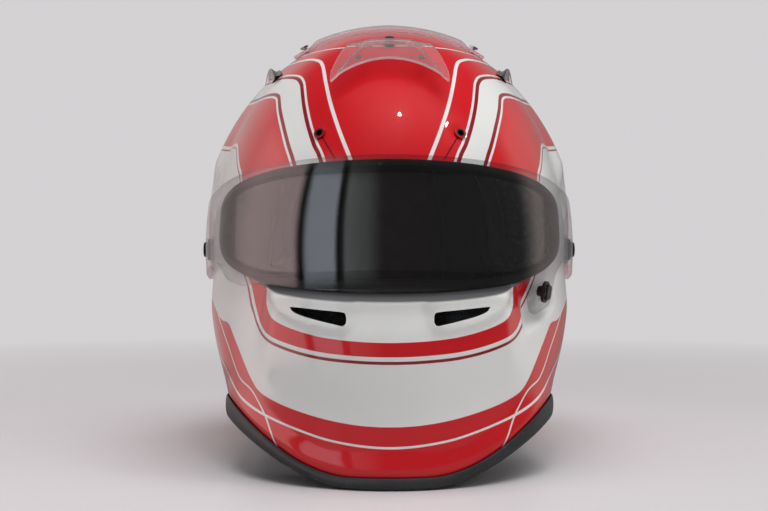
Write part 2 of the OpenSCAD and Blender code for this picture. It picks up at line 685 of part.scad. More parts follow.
// A spring of flat-ended round wire, its last turns lying level
module coil(radius, wire, turns, bottom, top) {
    steps = 12 * (turns + 2);
    function lift(t) = bottom + wire + (top - bottom - 2 * wire) * t;
    sections = [
        for (i = [0:steps]) let (t = i / steps, a = 360 * turns * t, z = lift(t))
            [for (k = [0:5]) [
                (radius + wire * cos(60 * k)) * cos(a),
                (radius + wire * cos(60 * k)) * sin(a),
                z + wire * sin(60 * k)
            ]]
    ];
    rod(sections);
}
module rod(sections) {
    n = len(sections);
    m = len(sections[0]);
    p = [for (s = sections) each s];
    f = [
        for (i = [0:n - 2], j = [0:m - 1])
            let (a = i * m + j, b = i * m + (j + 1) % m)
            each quad(a, b, b + m, a + m),
        for (j = [1:m - 2]) [0, j + 1, j],
        for (j = [1:m - 2]) let (k = (n - 1) * m) [k, k + j, k + j + 1]
    ];
    solid(p, f);
}

// Clear deflectors
deflector_side = 13;
function deflector_low(s) = 46.3 - 5.8 * s * s;
function deflector_top(s) = 62 - 9.5 * abs(s) - 9 * pow(abs(s), 6);
function deflector_off(phi) =
    deflector_lift + (0.9 - deflector_lift) * smooth((phi - raised_edge - 0.6) / 3.6)
    + 1.2 * smooth((48 - phi) / 8);
module front_deflector() {
    across = [for (i = [-10:10]) i / 10];
    along = [0, 0.15, 0.3, 0.45, 0.6, 0.75, 0.88, 1];
    function at(s, v, o) =
        let (phi = deflector_low(s) + (deflector_top(s) - deflector_low(s)) * v)
        skin_at(deflector_side * s, phi, deflector_off(phi) + o);
    color("mistyrose", 0.4)
        difference() {
            plate([for (s = across) [for (v = along) at(s, v, clear_wall)]],
                  [for (s = across) [for (v = along) at(s, v, 0)]]);
            on_skin(0, foot_phi, -1) cylinder(r = screw_radius + hole_gap, h = 14, $fn = 32);
        }
}
bumper_side = 6.8;
bumper_phi = 47.8;
module deflector_bumpers() {
    color("gray")
        for (s = [-1, 1])
            on_skin(s * bumper_side, bumper_phi, deflector_off(bumper_phi) - 0.75)
                cylinder(r = 2, h = 0.6, $fn = 32);
}
foot_top = deflector_off(foot_phi);
module deflector_foot() {
    color("dimgray")
        on_skin(0, foot_phi, 0.25)
            difference() {
                cylinder(r = 3.4, h = foot_top - 0.55, $fn = 48);
                translate([0, 0, -1]) cylinder(r = screw_radius + hole_gap, h = foot_top + 2, $fn = 48);
            }
}
module screw(length) {
    difference() {
        union() {
            cylinder(r = 2.8, h = 1.3, $fn = 48);
            translate([0, 0, -length]) cylinder(r = screw_radius, h = length + 0.5, $fn = 48);
        }
        translate([0, 0, 0.6]) cylinder(r = 1.2, h = 2, $fn = 6);
    }
}
module deflector_screw() {
    color("silver")
        on_skin(0, foot_phi, foot_top + clear_wall + 1.5) screw(foot_top + clear_wall + shell_wall);
}
spoiler_side = 26;
spoiler_from = 80;
spoiler_to = 144;
function spoiler_off(s, v) =
    0.7 + (spoiler_lift - 1.6 * abs(s)) * smooth((0.93 - abs(s)) / 0.22) * smooth((v - 0.02) / 0.2)
    + 7 * smooth((v - 0.62) / 0.38) * smooth((0.9 - abs(s)) / 0.4);
module rear_spoiler() {
    half = [0.25, 0.5, 0.7, 0.76, 0.83, 0.9, 0.96, 1];
    across = concat(reversed(-half), [0], half);
    along = [0, 0.04, 0.1, 0.16, 0.22, 0.35, 0.5, 0.62, 0.75, 0.88, 1];
    function at(s, v, o) =
        skin_at(spoiler_side * s, spoiler_from + (spoiler_to - spoiler_from) * v,
                spoiler_off(s, v) + o);
    color("mistyrose", 0.4)
        difference() {
            plate([for (s = across) [for (v = along) at(s, v, clear_wall)]],
                  [for (s = across) [for (v = along) at(s, v, 0)]]);
            for (left = [true, false], s = spoiler_screw_spots)
                sides(left) on_skin(s[0], s[1], -1)
                    cylinder(r = screw_radius + hole_gap, h = 20, $fn = 32);
        }
}
module spoiler_screws() {
    color("silver")
        for (left = [true, false], s = spoiler_screw_spots)
            sides(left)
                on_skin(s[0], s[1], spoiler_screw_top(s)) screw(spoiler_screw_top(s) + shell_wall);
}
function spoiler_screw_top(s) =
    spoiler_off(s[0] / spoiler_side, (s[1] - spoiler_from) / (spoiler_to - spoiler_from))
    + clear_wall + 1.2;
module side_strake(left) {
    steps = 14;
    // The strake's path, from its nose over the shoulder to its tail
    function path(t) = [31 + 7 * t, 66 + 62 * t];
    sections = [
        for (i = [0:steps])
            let (t = i / steps, a = path(t), b = path(t + 0.01), p = skin_at(a[0], a[1]),
                  n = skin_normal(a[0], a[1]), along = unit(skin_at(b[0], b[1]) - p),
                  side = cross(n, along),
                 tall = 0.8 + strake_height * pow(sin(180 * (0.08 + 0.86 * t)), 0.7),
                 half = [[0.8, tall], [1.3, 1.5], [4, 1.1], [4, 0.3]])
            [for (q = concat([for (h = reversed(half)) [-h[0], h[1]]], half)) p + q[0] * side + q[1] * n]
    ];
    color("mistyrose", 0.4) sides(left) rod(sections);
}
module side_strake_left() side_strake(true);
module side_strake_right() side_strake(false);

// Air ports and meshes
module forehead_port(left) {
    color("black")
        sides(left) on_skin(port_lam, port_phi) {
            tube(port_radius, port_radius + 0.9, -shell_wall - 0.4, 0.2);
            tube(port_radius, port_radius + 1.8, 0.2, 0.7);
        }
}
module forehead_port_left() forehead_port(true);
module forehead_port_right() forehead_port(false);
// A thin perforated panel behind an opening
module mesh_panel(lam_from, lam_to, phi_from, phi_to, off) {
    function at(i, j, o) =
        skin_at(lam_from + (lam_to - lam_from) * i / 6, phi_from + (phi_to - phi_from) * j / 2, o);
    plate([for (i = [0:6]) [for (j = [0:2]) at(i, j, off)]],
          [for (i = [0:6]) [for (j = [0:2]) at(i, j, off - 1)]]);
}
module chin_vent_mesh(left) {
    color("black") sides(left) mesh_panel(6.8, 23, -12.2, -16.6, -shell_wall - 0.9);
}
module chin_vent_mesh_left() chin_vent_mesh(true);
module chin_vent_mesh_right() chin_vent_mesh(false);
module rear_vent_mesh(left) {
    color("black")
        sides(left)
            mesh_panel(rear_vent_side - 6.5, rear_vent_side + 6.5,
                       rear_vent_height - 2.4, rear_vent_height + 2.4, -shell_wall - 1.5);
}
module rear_vent_mesh_left() rear_vent_mesh(true);
module rear_vent_mesh_right() rear_vent_mesh(false);

// Anchors and chin strap
module restraint_anchor(left) {
    color("silver")
        sides(left) on_skin(anchor_side, anchor_height)
            difference() {
                union() {
                    translate([0, 0, -anchor_depth])
                        cylinder(r = anchor_radius, h = anchor_depth + anchor_reach, $fn = 64);
                    translate([0, 0, 0.2]) cylinder(r = anchor_radius + 2.3, h = 1, $fn = 64);
                    translate([0, 0, anchor_reach - 2.4])
                        cylinder(r = anchor_radius + 1.2, h = 2.4, $fn = 64);
                }
                translate([0, 0, 1.6]) cylinder(r = anchor_bore, h = anchor_reach, $fn = 64);
            }
}
module restraint_anchor_left() restraint_anchor(true);
module restraint_anchor_right() restraint_anchor(false);
rivet_radius = 2.4;
rivet_head = 5.5;
strap_angle = 103;
rivet_point = skin_at(rivet_side, rivet_height);
strap_middle = rivet_point.y;
function wall_x(z, off) = level_point(strap_angle, z, off).x;
strap_gap = 1.9;
strap_out = -shell_wall - strap_gap - strap_wall / 2;
strap_low_out = -shell_wall - 2 * trim_lip - strap_wall / 2;
function strap_path(run) =
    let (rise = axis_height - 59 - 44, top = 44 + rise, upper = 44 + rise * 22 / 30,
         middle = 44 + rise / 2, lower = 44 + rise / 5, x = wall_x(44, strap_low_out))
    [[wall_x(top, strap_out), top], [wall_x(upper, strap_out), upper],
     [wall_x(middle, strap_out), middle], [wall_x(lower, strap_low_out - 0.6), lower],
     [x, 44], [x - 1.5, 37], [x - 6, 31], [x - 14, 27.5], [x - 24, 26], [x - run, 26]];
// A flat band of webbing along a path in X and Z, its width along Y
module band(path, width, wall) {
    n = len(path);
    function way(i) = unit(path[min(n - 1, i + 1)] - path[max(0, i - 1)]);
    function beside(i, s) = let (w = way(i)) path[i] + s * wall / 2 * [-w.y, w.x];
    outline = concat([for (i = [0:n - 1]) beside(i, 1)], [for (i = [n - 1:-1:0]) beside(i, -1)]);
    translate([0, strap_middle + width / 2, 0])
        rotate([90, 0, 0]) linear_extrude(width) polygon(outline);
}
module rivet_hole() {
    on_skin(rivet_side, rivet_height, -12) cylinder(r = rivet_radius + hole_gap, h = 14, $fn = 32);
}
left_run = 50;
right_run = 80;
eye_half = 2.4;
eye_radius = 1.9;
ring_wire = 1.5;
left_end = strap_path(left_run)[9];
right_end = strap_path(right_run)[9];
module along_width(r, width) {
    translate([0, width / 2, 0]) rotate([90, 0, 0]) cylinder(r = r, h = width, $fn = 32);
}
module eye(r, width) {
    for (s = [-1, 1]) translate([s * eye_half, 0, 0]) along_width(r, width);
    translate([-eye_half, -width / 2, -r]) cube([2 * eye_half, width, 2 * r]);
}
module chin_strap_left() {
    color("black")
        difference() {
            union() {
                band(strap_path(left_run), strap_width, strap_wall);
                translate([left_end.x - eye_half - 1.5, strap_middle, left_end.y])
                    eye(eye_radius + strap_wall, strap_width);
            }
            rivet_hole();
            translate([left_end.x - eye_half - 1.5, strap_middle, left_end.y])
                eye(eye_radius, strap_width + 2);
        }
}
module chin_strap_right() {
    color("black")
        mirror([1, 0, 0])
            difference() {
                band(strap_path(right_run), strap_width, strap_wall);
                rivet_hole();
                translate([right_end.x + snap_inset, strap_middle, right_end.y - 3])
                    cylinder(r = snap_stem + hole_gap, h = 6, $fn = 32);
            }
}
// A D-shaped ring: a straight bar along Y and a half circle
module d_ring(radius) {
    along_width(ring_wire, 2 * radius);
    rotate([0, 0, 90])
        rotate_extrude(angle = 180, $fn = 64) translate([radius, 0]) circle(r = ring_wire, $fn = 24);
    for (s = [-1, 1]) translate([0, s * radius, 0]) sphere(r = ring_wire, $fn = 24);
}
module strap_d_rings() {
    color("silver")
        translate([left_end.x - eye_half - 1.5, strap_middle, left_end.y]) {
            translate([eye_half, 0, 0]) rotate([0, 8, 0]) d_ring(strap_width / 2 + 7);
            translate([-eye_half, 0, 0]) rotate([0, -18, 0]) d_ring(strap_width / 2 + 2.5);
        }
}
snap_inset = 9;
snap_stem = 1.5;
snap_radius = 5.5;
module strap_snap() {
    color("black")
        mirror([1, 0, 0])
            translate([right_end.x + snap_inset, strap_middle, right_end.y]) {
                translate([0, 0, -strap_wall / 2 - 1.3]) cylinder(r = snap_radius, h = 1.25, $fn = 48);
                translate([0, 0, -strap_wall / 2 - 0.5])
                    cylinder(r = snap_stem, h = strap_wall + 1.3, $fn = 48);
                translate([0, 0, strap_wall / 2 + 0.05])
                    cylinder(r = snap_radius - 1, h = 0.9, $fn = 48);
            }
}
module strap_rivet(left) {
    color("silver")
        sides(left) on_skin(rivet_side, rivet_height) {
            translate([0, 0, -1.5]) cylinder(r = rivet_head, h = 1.3, $fn = 48);
            translate([0, 0, -shell_wall - strap_wall - strap_gap - 1.2])
                cylinder(r = rivet_radius, h = shell_wall + strap_wall + strap_gap + 0.2, $fn = 48);
            translate([0, 0, -shell_wall - strap_wall - strap_gap - 1.9])
                cylinder(r = rivet_head - 0.5, h = 0.9, $fn = 48);
        }
}
module strap_rivet_left() strap_rivet(true);
module strap_rivet_right() strap_rivet(false);

outer_shell();
crown_foam();
chin_foam();
crown_liner();
cheek_pad_left();
cheek_pad_right();
neck_roll();
eyeport_gasket();
bottom_edge_trim();
visor();
visor_inner_pane();
pivot_screw_left();
pivot_screw_right();
pivot_bush_left();
pivot_bush_right();
pivot_washer_left();
pivot_washer_right();
pivot_insert_left();
pivot_insert_right();
lock_bezel();
lock_button();
lock_spring();
front_deflector();
deflector_bumpers();
deflector_foot();
deflector_screw();
rear_spoiler();
spoiler_screws();
side_strake_left();
side_strake_right();
forehead_port_left();
forehead_port_right();
chin_vent_mesh_left();
chin_vent_mesh_right();
rear_vent_mesh_left();
rear_vent_mesh_right();
restraint_anchor_left();
restraint_anchor_right();
chin_strap_left();
chin_strap_right();
strap_d_rings();
strap_snap();
strap_rivet_left();
strap_rivet_right();
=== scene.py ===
"""Full-face racing helmet: painted shell, clear visor, rubber edges, clear air pieces, lining and webbing."""

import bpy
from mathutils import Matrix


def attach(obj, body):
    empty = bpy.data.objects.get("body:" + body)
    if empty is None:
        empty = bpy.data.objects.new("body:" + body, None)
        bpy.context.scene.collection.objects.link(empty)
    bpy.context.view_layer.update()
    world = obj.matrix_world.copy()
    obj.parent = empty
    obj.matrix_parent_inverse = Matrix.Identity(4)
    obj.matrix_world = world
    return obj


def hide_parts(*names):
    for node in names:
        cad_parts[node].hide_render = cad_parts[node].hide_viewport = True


bl_info = {
    "name": "Full-Face Racing Helmet",
    "version": (1, 0, 0),
    "blender": (4, 5, 0),
    "location": "3D View > Sidebar > Helmet",
    "description": "Builds the looks of a full-face racing helmet around its packed frame",
    "category": "Object",
}

import math

import bpy
import numpy as np

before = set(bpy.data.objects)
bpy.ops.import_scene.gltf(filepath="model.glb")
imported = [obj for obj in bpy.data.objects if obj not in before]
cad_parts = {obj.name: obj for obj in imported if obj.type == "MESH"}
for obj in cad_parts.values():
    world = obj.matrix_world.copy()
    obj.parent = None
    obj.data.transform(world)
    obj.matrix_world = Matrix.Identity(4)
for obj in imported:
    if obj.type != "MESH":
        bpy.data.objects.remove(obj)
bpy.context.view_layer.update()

# The shell's sizes in millimetres, as the part's source names them
PIVOT_HALF, SIDE_HALF, FACE, CROWN, BACK, CHIN = 116.0, 140.0, 146.0, 143.0, 169.5, 197.0
CENTRE = np.array([0.0, -5.0, 133.0])
WALL, ROUND, LEDGE, LEDGE_START, LEDGE_END = 3.5, 2.09, 14.3, -9.9, -10.9
TRIM_HIGH, TRIM_SIDE, SIDE_LIFT, GROOVE, TRIM_LIP = 7.0, 6.0, 37.0, 3.2, 1.9
PORT_TOP, PORT_LOW, PORT_SIDE, SEAL_LIP, SEAL_WALL = 20.2, -8.9, 59.6, 2.6, 0.9
VISOR_INNER, VISOR_OUTER = (118.4, 149.0), (121.2, 151.8)
RAISED_EDGE = 53.3
PROFILE = np.array([
    (-130, CHIN - 21), (-100, CHIN - 34), (-75, CHIN - 21), (-60, CHIN - 7), (-50, CHIN + 3), (-39, CHIN),
    (-30, 178.5), (-23, 165), (-18, 156.5), (-13, FACE + 1.5), (-10, FACE), (-4, FACE), (25, FACE),
    (60, FACE), (75, FACE - 1.5), (90, CROWN), (105, CROWN + 3), (120, CROWN + 11), (135, CROWN + 20),
    (153, BACK + 3), (168, BACK + 2.5), (180, BACK), (190, BACK - 2.5), (200, BACK - 4), (212, BACK - 4),
    (222, BACK + 13)], float)
WIDTHS = np.array([
    (-130, SIDE_HALF - 22), (-90, PIVOT_HALF - 6), (-50, PIVOT_HALF + 2), (-20, PIVOT_HALF),
    (66, PIVOT_HALF), (90, SIDE_HALF - 14), (120, SIDE_HALF - 8.5), (180, SIDE_HALF),
    (205, SIDE_HALF - 9)], float)

# Colour edges of the livery on one half, as degrees round from the front and above level
VENT_PANEL = [(32.5, -6), (31.4, -9.5), (31, -12.2), (29, -14), (26, -15.4), (21.7, -16.4), (14.3, -17.4),
              (7, -17.8), (-4, -17.9)]
CHIN_BAND = [(40, -6), (37.6, -10.2), (35.4, -13.6), (33.3, -16.4), (30.8, -18), (27, -18.8), (21.5, -19.6),
             (14.4, -20.2), (7, -20.4), (-4, -20.4)]
CHEEK_EDGE = [(180, 10.6), (168, 10.8), (155, 11.4), (140, 12.4), (124, 13.6), (113, 14.2), (111.2, 13.2),
              (112, 8), (112, 2), (108, -4), (98, -8.5), (86, -10.8), (75, -13), (66.6, -15), (57.8, -17.8),
              (53.5, -18.8), (49.6, -18.8), (47.6, -19.3), (45.6, -20.6), (40.7, -24.2), (35.6, -28.1),
              (32.2, -29.9), (28.1, -30.6), (19.6, -31.3), (10.3, -31.9), (-4, -32.1)]
SIDE_PANEL = [(40, 8), (46.9, 19.8), (50.8, 23.4), (55, 27), (58.2, 29.4), (60, 30.6), (63, 31.7),
              (68, 32.3), (78, 32.4), (92, 31.8), (110, 30.4), (130, 28), (148, 25.8), (160, 24.7),
              (170, 24.2), (180, 24)]
BAND_OUT = [(19, 10), (24.6, 21.2), (27.3, 25.5), (31.5, 31.7), (36, 37.2), (39.3, 41), (41.5, 42.9),
            (45, 44.3), (52, 45.6), (61, 46.4), (86.6, 46.8), (110, 45.6), (130, 43.2), (148, 40.8),
            (160, 39.6), (170, 39), (180, 38.8)]
BAND_IN = [(14, 12), (17.9, 21.1), (20.2, 24.6), (23.5, 30.4), (27, 36.4), (30.6, 42), (33, 44.8),
           (37, 47.3), (44, 49.2), (51, 50.4), (66, 51.6), (82, 52.1), (105, 51.4), (130, 49),
           (148, 46.8), (160, 45.6), (170, 45), (180, 44.8)]
STRIPE = [(7, 14), (9.6, 20.6), (12.9, 27.4), (17, 35.5), (21, 42.9), (24, 47.6), (26.4, 50.6),
          (30, 53.4), (37, 55.8), (48.9, 57.8), (74.2, 59.2), (100, 59.4), (130, 57.2), (148, 55.4),
          (160, 54.4), (170, 53.8), (180, 53.6)]
CROWN_LINE = [(-8, 57.6), (0, 57.5), (10, 58), (21.8, 59.1), (37.4, 60.6), (55, 62), (68, 63.2), (90, 64.4),
              (130, 64.2), (155, 63), (170, 62.6), (180, 62.5)]
DIAGONAL = [(63, -14), (57.5, -18), (53.3, -20.4), (47.1, -24.2), (42.4, -27.8), (39.7, -29.3),
            (36.5, -29.9), (34.2, -30.6), (30.9, -32.6), (28.3, -34.6), (25.6, -37.6), (23, -42)]
LOW_LINE = [(78, -21), (64.2, -25.3), (55, -28), (49.7, -29.4), (44.5, -31), (40.8, -31.9), (35.8, -32.7),
            (31.8, -33.2), (25.1, -33.8), (19.6, -34.2), (14.8, -34.6), (7, -35), (-4, -35.1)]
VENT_EDGE = [(55.6, 99.2), (54.6, 100.2), (38.8, 98.9), (27, 97.9), (24.7, 96.9), (24.1, 94.4),
             (24.4, 91.7), (26, 90.3), (28.6, 90.6), (38.7, 92.8), (47.3, 94.9), (53.6, 97.2)]
SCOOP_EDGE = [(22.5, 108), (21.5, 96), (22.4, 89.6), (25.6, 86.6), (31, 86.2), (42, 88), (54, 91.4),
              (62, 95.6), (66, 100), (66.5, 108)]
# Each colour edge with the corners that close it into a ring, on the helmet laid flat from above
LIVERY = {
    "vent_panel": (VENT_PANEL, (-8, -80), (40, -70)),
    "chin_band": (CHIN_BAND, (-8, -80), (48, -68)),
    "cheek_edge": (CHEEK_EDGE, (-9, -122), (-9, 79.5)),
    "side_panel": (SIDE_PANEL, (-6, 62), (-6, 160), (200, 160), (200, -160), (-6, -160), (-6, -85),
                   (40, -70)),
    "band_out": (BAND_OUT, (-6, 50), (-6, -78)),
    "band_in": (BAND_IN, (-6, 44), (-6, -76)),
    "stripe": (STRIPE, (-6, 44), (-6, -76)),
    "crown_line": (CROWN_LINE, (-6, 30), (-6, -32)),
    "diagonal": (DIAGONAL, (80, -180), (200, -100), (200, -60)),
    "low_line": (LOW_LINE, (-9, -180), (200, -180), (200, -40)),
}
# Places on the shell, as degrees to the side and round the visor's axis
PORT_HOLE, GROOVE_END = (16.4, 28.9), (12.3, 20.9)
ANCHOR, RIVET = (36.5, 203.5), (57.2, 249.0)
SPOILER_SPOTS = [(22.5, 84.0), (22.5, 138.0)]
FOOT_SPOT = (0.0, RAISED_EDGE + 4.8)
REAR_VENT = (17.0, 166.0)
LOCK_SPOT = (41.6, -14.3)
# The left forehead port's place, its axis and its bore's radius, in metres
PORT_POINT, PORT_WAY, PORT_RIM = (0.03992, -0.12436, 0.1989), (0.3998, -0.8031, 0.4417), 0.0026
# Radii of the holes, how far in and out they are cut, and where the chin vents' cut starts and ends
PORT_BORE, ANCHOR_HOLE, RIVET_HOLE, RIVET_SEAT, SCREW_HOLE = 2.85, 5.25, 2.65, 5.75, 1.75
PIVOT_HOLE, VISOR_HOLE, LOCK_HOLE = 5.25, 7.45, 3.45
CUT_IN, CUT_OUT, VENT_CUT = -10, 6, (-210.0, -118.0)
# The rear vent's slot: the radius of its ends and how far their centres are from its middle
SLOT_RADIUS, SLOT_HALF = 3.5, 10.2
# A face is on the shell's inside where its normal and the way outward have a product below this
INWARD = -0.25
# Each vent's mesh: degrees to the side, degrees round the visor's axis, and height off the shell
VENT_MESHES = (("chin", (6.8, 23), (-12.2, -16.6), -4.4), ("rear", (10.5, 23.5), (163.6, 168.4), -5.0))
MESH_WALL = 0.5
# Walls of the clear pieces and of the fog pane, the pane's gap, and its half width in degrees
CLEAR_WALL, PANE_WALL, PANE_GAP, PANE_HALF = 1.8, 0.7, 0.6, 44
# The clear pieces in degrees: half widths, where the spoiler starts and how far it runs, and the
# strakes' front ends and runs, aside and round the visor's axis
DEFLECTOR_HALF, SPOILER_HALF, SPOILER_START, SPOILER_RUN = 13, 26, 80, 64
STRAKE_START, STRAKE_RUN = (31, 66), (7, 62)
# The widths in metres over which the visor's and the plates' edges are rounded
VISOR_ROUNDING, PLATE_ROUNDING = 0.0007, 0.0005
# The visor's arm: its half height and its tilt, and the spread of the sheet's rows from edge to edge
ARM_HALF, ARM_TILT = 20, 9
ACROSS = 0.25 * (1 - np.cos(np.pi * np.linspace(0, 1, 27))) + 0.5 * np.linspace(0, 1, 27)
# The head's room: half its width, its front, its back and its height over the centre
HEAD_SIDE, HEAD_FRONT, HEAD_BACK, HEAD_TALL = 82.0, 98.0, 118.0, 107.5
# The crown lining: its gap to that room, its edge's thickness and how much more it has, less at seams
LINER_GAP, LINER_EDGE, LINER_MORE, LINER_SEAM = 2.2, 1.5, 7.2, 2.6
SHELL_COLUMNS, LINING_COLUMNS = 320, 160
UP, MIRROR = np.array([0.0, 0.0, 1.0]), np.array([-1, 1, 1])
SIDES = ((1, "left"), (-1, "right"))


# ---------------------------------------------------------------- numbers
def smooth(t):
    """A ramp from 0 to 1 with level ends."""
    c = np.clip(t, 0, 1)
    return c * c * (3 - 2 * c)


def around(x, knots):
    """A closed smooth curve of a value over 360 degrees through knots.

    It is made of cubic pieces, and each knot's slope is that of its neighbours.
    """
    x = (np.asarray(x, float) - knots[0, 0]) % 360 + knots[0, 0]
    k = np.vstack([knots[-1] - [360, 0], knots, knots[0] + [360, 0], knots[1] + [360, 0]])
    i = np.clip(np.searchsorted(k[:, 0], x, side="right") - 1, 1, len(k) - 3)
    h = k[i + 1, 0] - k[i, 0]
    t = (x - k[i, 0]) / h
    m = (k[i + 1, 1] - k[i - 1, 1]) / (k[i + 1, 0] - k[i - 1, 0])
    n = (k[i + 2, 1] - k[i, 1]) / (k[i + 2, 0] - k[i, 0])
    return ((2 * t**3 - 3 * t**2 + 1) * k[i, 1] + (t**3 - 2 * t**2 + t) * h * m
            + (3 * t**2 - 2 * t**3) * k[i + 1, 1] + (t**3 - t**2) * h * n)


def unit(v):
    """The vectors of an array, each of length 1."""
    return v / np.linalg.norm(v, axis=-1, keepdims=True)


def turn(th, el):
    """Directions by degrees round from straight ahead and above level."""
    t, e = np.radians(th), np.radians(el)
    return np.stack(np.broadcast_arrays(np.sin(t) * np.cos(e), -np.cos(t) * np.cos(e), np.sin(e)), -1)


def aim(lam, phi):
    """Directions by degrees to the side and round the visor's axis."""
    a, p = np.radians(lam), np.radians(phi)
    return np.stack(np.broadcast_arrays(np.sin(a), -np.cos(a) * np.cos(p), np.cos(a) * np.sin(p)), -1)


def skin(d, off=0.0):
    """Distance from the centre to the shell's outer surface along each direction.

    It is a superellipse between the half width and the side profile at that angle, with the chin's
    ledge and the recess by the lock.
    """
    x, c = np.maximum(np.abs(d[..., 0]), 1e-6), np.hypot(d[..., 1], d[..., 2])
    side, phi = np.degrees(np.arctan2(x, c)), np.degrees(np.arctan2(d[..., 2], -d[..., 1]))
    lam = np.where(d[..., 0] < 0, -side, side)
    half = PIVOT_HALF + smooth((PIVOT_HALF * c / x - 30) / 30) * (around(phi, WIDTHS) - PIVOT_HALF) + off
    r = around(phi, PROFILE)
    ledge = (1 - smooth((side - 25) / 8)) * (1 - smooth((LEDGE_END - phi) / 26)) * smooth(LEDGE_START - phi)
    r = r + LEDGE * ledge
    dent = smooth((lam - 32) / 3) * (1 - smooth((lam - 47) / 4)) * smooth((phi + 24.5) / 3) * smooth(-phi / 4)
    r = r - np.maximum(0, r - FACE) * dent + off
    n = ROUND - 0.04 * smooth(-2.5 * d[..., 2])
    return ((x / half) ** n + (c / r) ** n) ** (-1 / n)


def on_skin(d, off=0.0):
    """Points of the shell's surface, off millimetres further out."""
    return CENTRE + skin(d, off)[..., None] * d


def skin_frame(lam, phi):
    """A point of the surface, two directions along it and its outward normal."""
    def at(a, b):
        return on_skin(aim(a, b))
    u = at(lam + 0.5, phi) - at(lam - 0.5, phi)
    n = unit(np.cross(u, at(lam, phi + 0.5) - at(lam, phi - 0.5)))
    u = unit(u)
    return at(lam, phi), u, np.cross(n, u), n


def all_round(columns):
    """Degrees round the helmet for the columns of a ring, and how far each is from the front."""
    th = np.arange(columns) * 360 / columns
    return th, np.abs(np.where(th > 180, th - 360, th))


def polar(d):
    """Directions laid flat as seen from above: degrees down from the crown, and the way round."""
    el = np.degrees(np.arcsin(d[:, 2]))
    return (90 - el)[:, None] * unit(d[:, :2] + 1e-9)


def edge_height(th):
    """Height of the shell's bottom edge by the angle round from the front."""
    return TRIM_HIGH + SIDE_LIFT * (smooth((th - 8) / 42) - smooth((th - 95) / 50))


def edge_trim(th):
    """Height of the rubber trim below that edge."""
    return TRIM_HIGH + TRIM_SIDE * (smooth((th - 15) / 35) - smooth((th - 105) / 38))


def halve(above, lo, hi, shape):
    """The elevation at which a test turns true, by halving."""
    lo, hi = np.full(shape, float(lo)), np.full(shape, float(hi))
    for _ in range(26):
        mid = (lo + hi) / 2
        up = above(mid)
        lo, hi = np.where(up, lo, mid), np.where(up, mid, hi)
    return (lo + hi) / 2


def level_el(th, z, off=0.0):
    """Elevation at which the surface passes a height."""
    def above(mid):
        d = turn(th, mid)
        return CENTRE[2] + skin(d, off) * d[..., 2] > z
    return halve(above, -80, 88, np.broadcast(th, z).shape)


def level_point(th, z, off=0.0):
    """Points of the surface at a height and an angle round from the front."""
    return on_skin(turn(th, level_el(th, z, off)), off)


def flared(p):
    """Moves points near the bottom edge outward, at the chin and the back, less upward as a Gaussian."""
    th = np.abs(np.degrees(np.arctan2(p[..., 0], CENTRE[1] - p[..., 1])))
    h = np.maximum(0, p[..., 2] - edge_height(th))
    push = (4.5 * (1 - smooth((th - 35) / 30)) + 4 * smooth((th - 130) / 30)) * np.exp(-h * h / 81)
    out = unit((p - CENTRE) * [1, 1, 0])
    return p + push[..., None] * out


def from_line(p, line):
    """Distance from each point to a chain of straight pieces, in 2 or 3 dimensions."""
    best = np.full(len(p), 1e9)
    for a, b in zip(line[:-1], line[1:]):
        ab = b - a
        t = np.clip((p - a) @ ab / max(ab @ ab, 1e-12), 0, 1)
        best = np.minimum(best, np.linalg.norm(p - a - t[:, None] * ab, axis=1))
    return best


def beside_line(p, line, ring, flat):
    """Distance from a chain on the shell, more than nought inside the flat ring.

    Close by, the side is that of the nearest piece of the chain.
    """
    best, side = np.full(len(p), 1e9), np.zeros(len(p))
    for a, b in zip(line[:-1], line[1:]):
        ab = b - a
        away = p - a
        t = np.clip(away @ ab / max(ab @ ab, 1e-12), 0, 1)
        gap = np.linalg.norm(away - t[:, None] * ab, axis=1)
        near = gap < best
        best = np.where(near, gap, best)
        side = np.where(near, away @ np.cross(a - CENTRE, ab), side)
    sign = np.where(within(flat, ring), 1.0, -1.0)
    # Which hand of the chain is inside is read from the points a little way off
    apart = (best > 1.5) & (best < 6)
    hand = 1.0 if np.sum((side * sign)[apart] > 0) * 2 > np.sum(apart) else -1.0
    return best * np.where(best < 1.5, np.sign(side) * hand, sign)


def within(p, ring):
    """True for flat points inside a closed ring, by counting the sides that a ray crosses."""
    odd = np.zeros(len(p), bool)
    for a, b in zip(ring, np.roll(ring, -1, axis=0)):
        if a[1] == b[1]:
            continue
        cross = ((a[1] > p[:, 1]) != (b[1] > p[:, 1])) & (
            p[:, 0] < (b[0] - a[0]) * (p[:, 1] - a[1]) / (b[1] - a[1]) + a[0])
        odd ^= cross
    return odd


def eased(points, steps=6, closed=False):
    """A smooth curve through points, each slope that of the neighbours."""
    p = np.array(points, float)
    ends = (p[-1:], p[:2]) if closed else (2 * p[:1] - p[1:2], 2 * p[-1:] - p[-2:-1])
    ext = np.vstack([ends[0], p, ends[1]])
    t = (np.arange(steps) / steps)[:, None, None]
    a, b, c, d = ext[:-3], ext[1:-2], ext[2:-1], ext[3:]
    q = 0.5 * (2 * b + (c - a) * t + (2 * a - 5 * b + 4 * c - d) * t**2 + (3 * b - a - 3 * c + d) * t**3)
    q = np.swapaxes(q, 0, 1).reshape(-1, p.shape[1])
    return q if closed else np.vstack([q, p[-1:]])


def rounded(profile, times=2):
    """A closed outline with its corners cut, a quarter off each side at each pass."""
    q = np.array(profile, float)
    for _ in range(times):
        nxt = np.roll(q, -1, axis=0)
        q = np.stack([0.75 * q + 0.25 * nxt, 0.25 * q + 0.75 * nxt], 1).reshape(-1, q.shape[1])
    return q


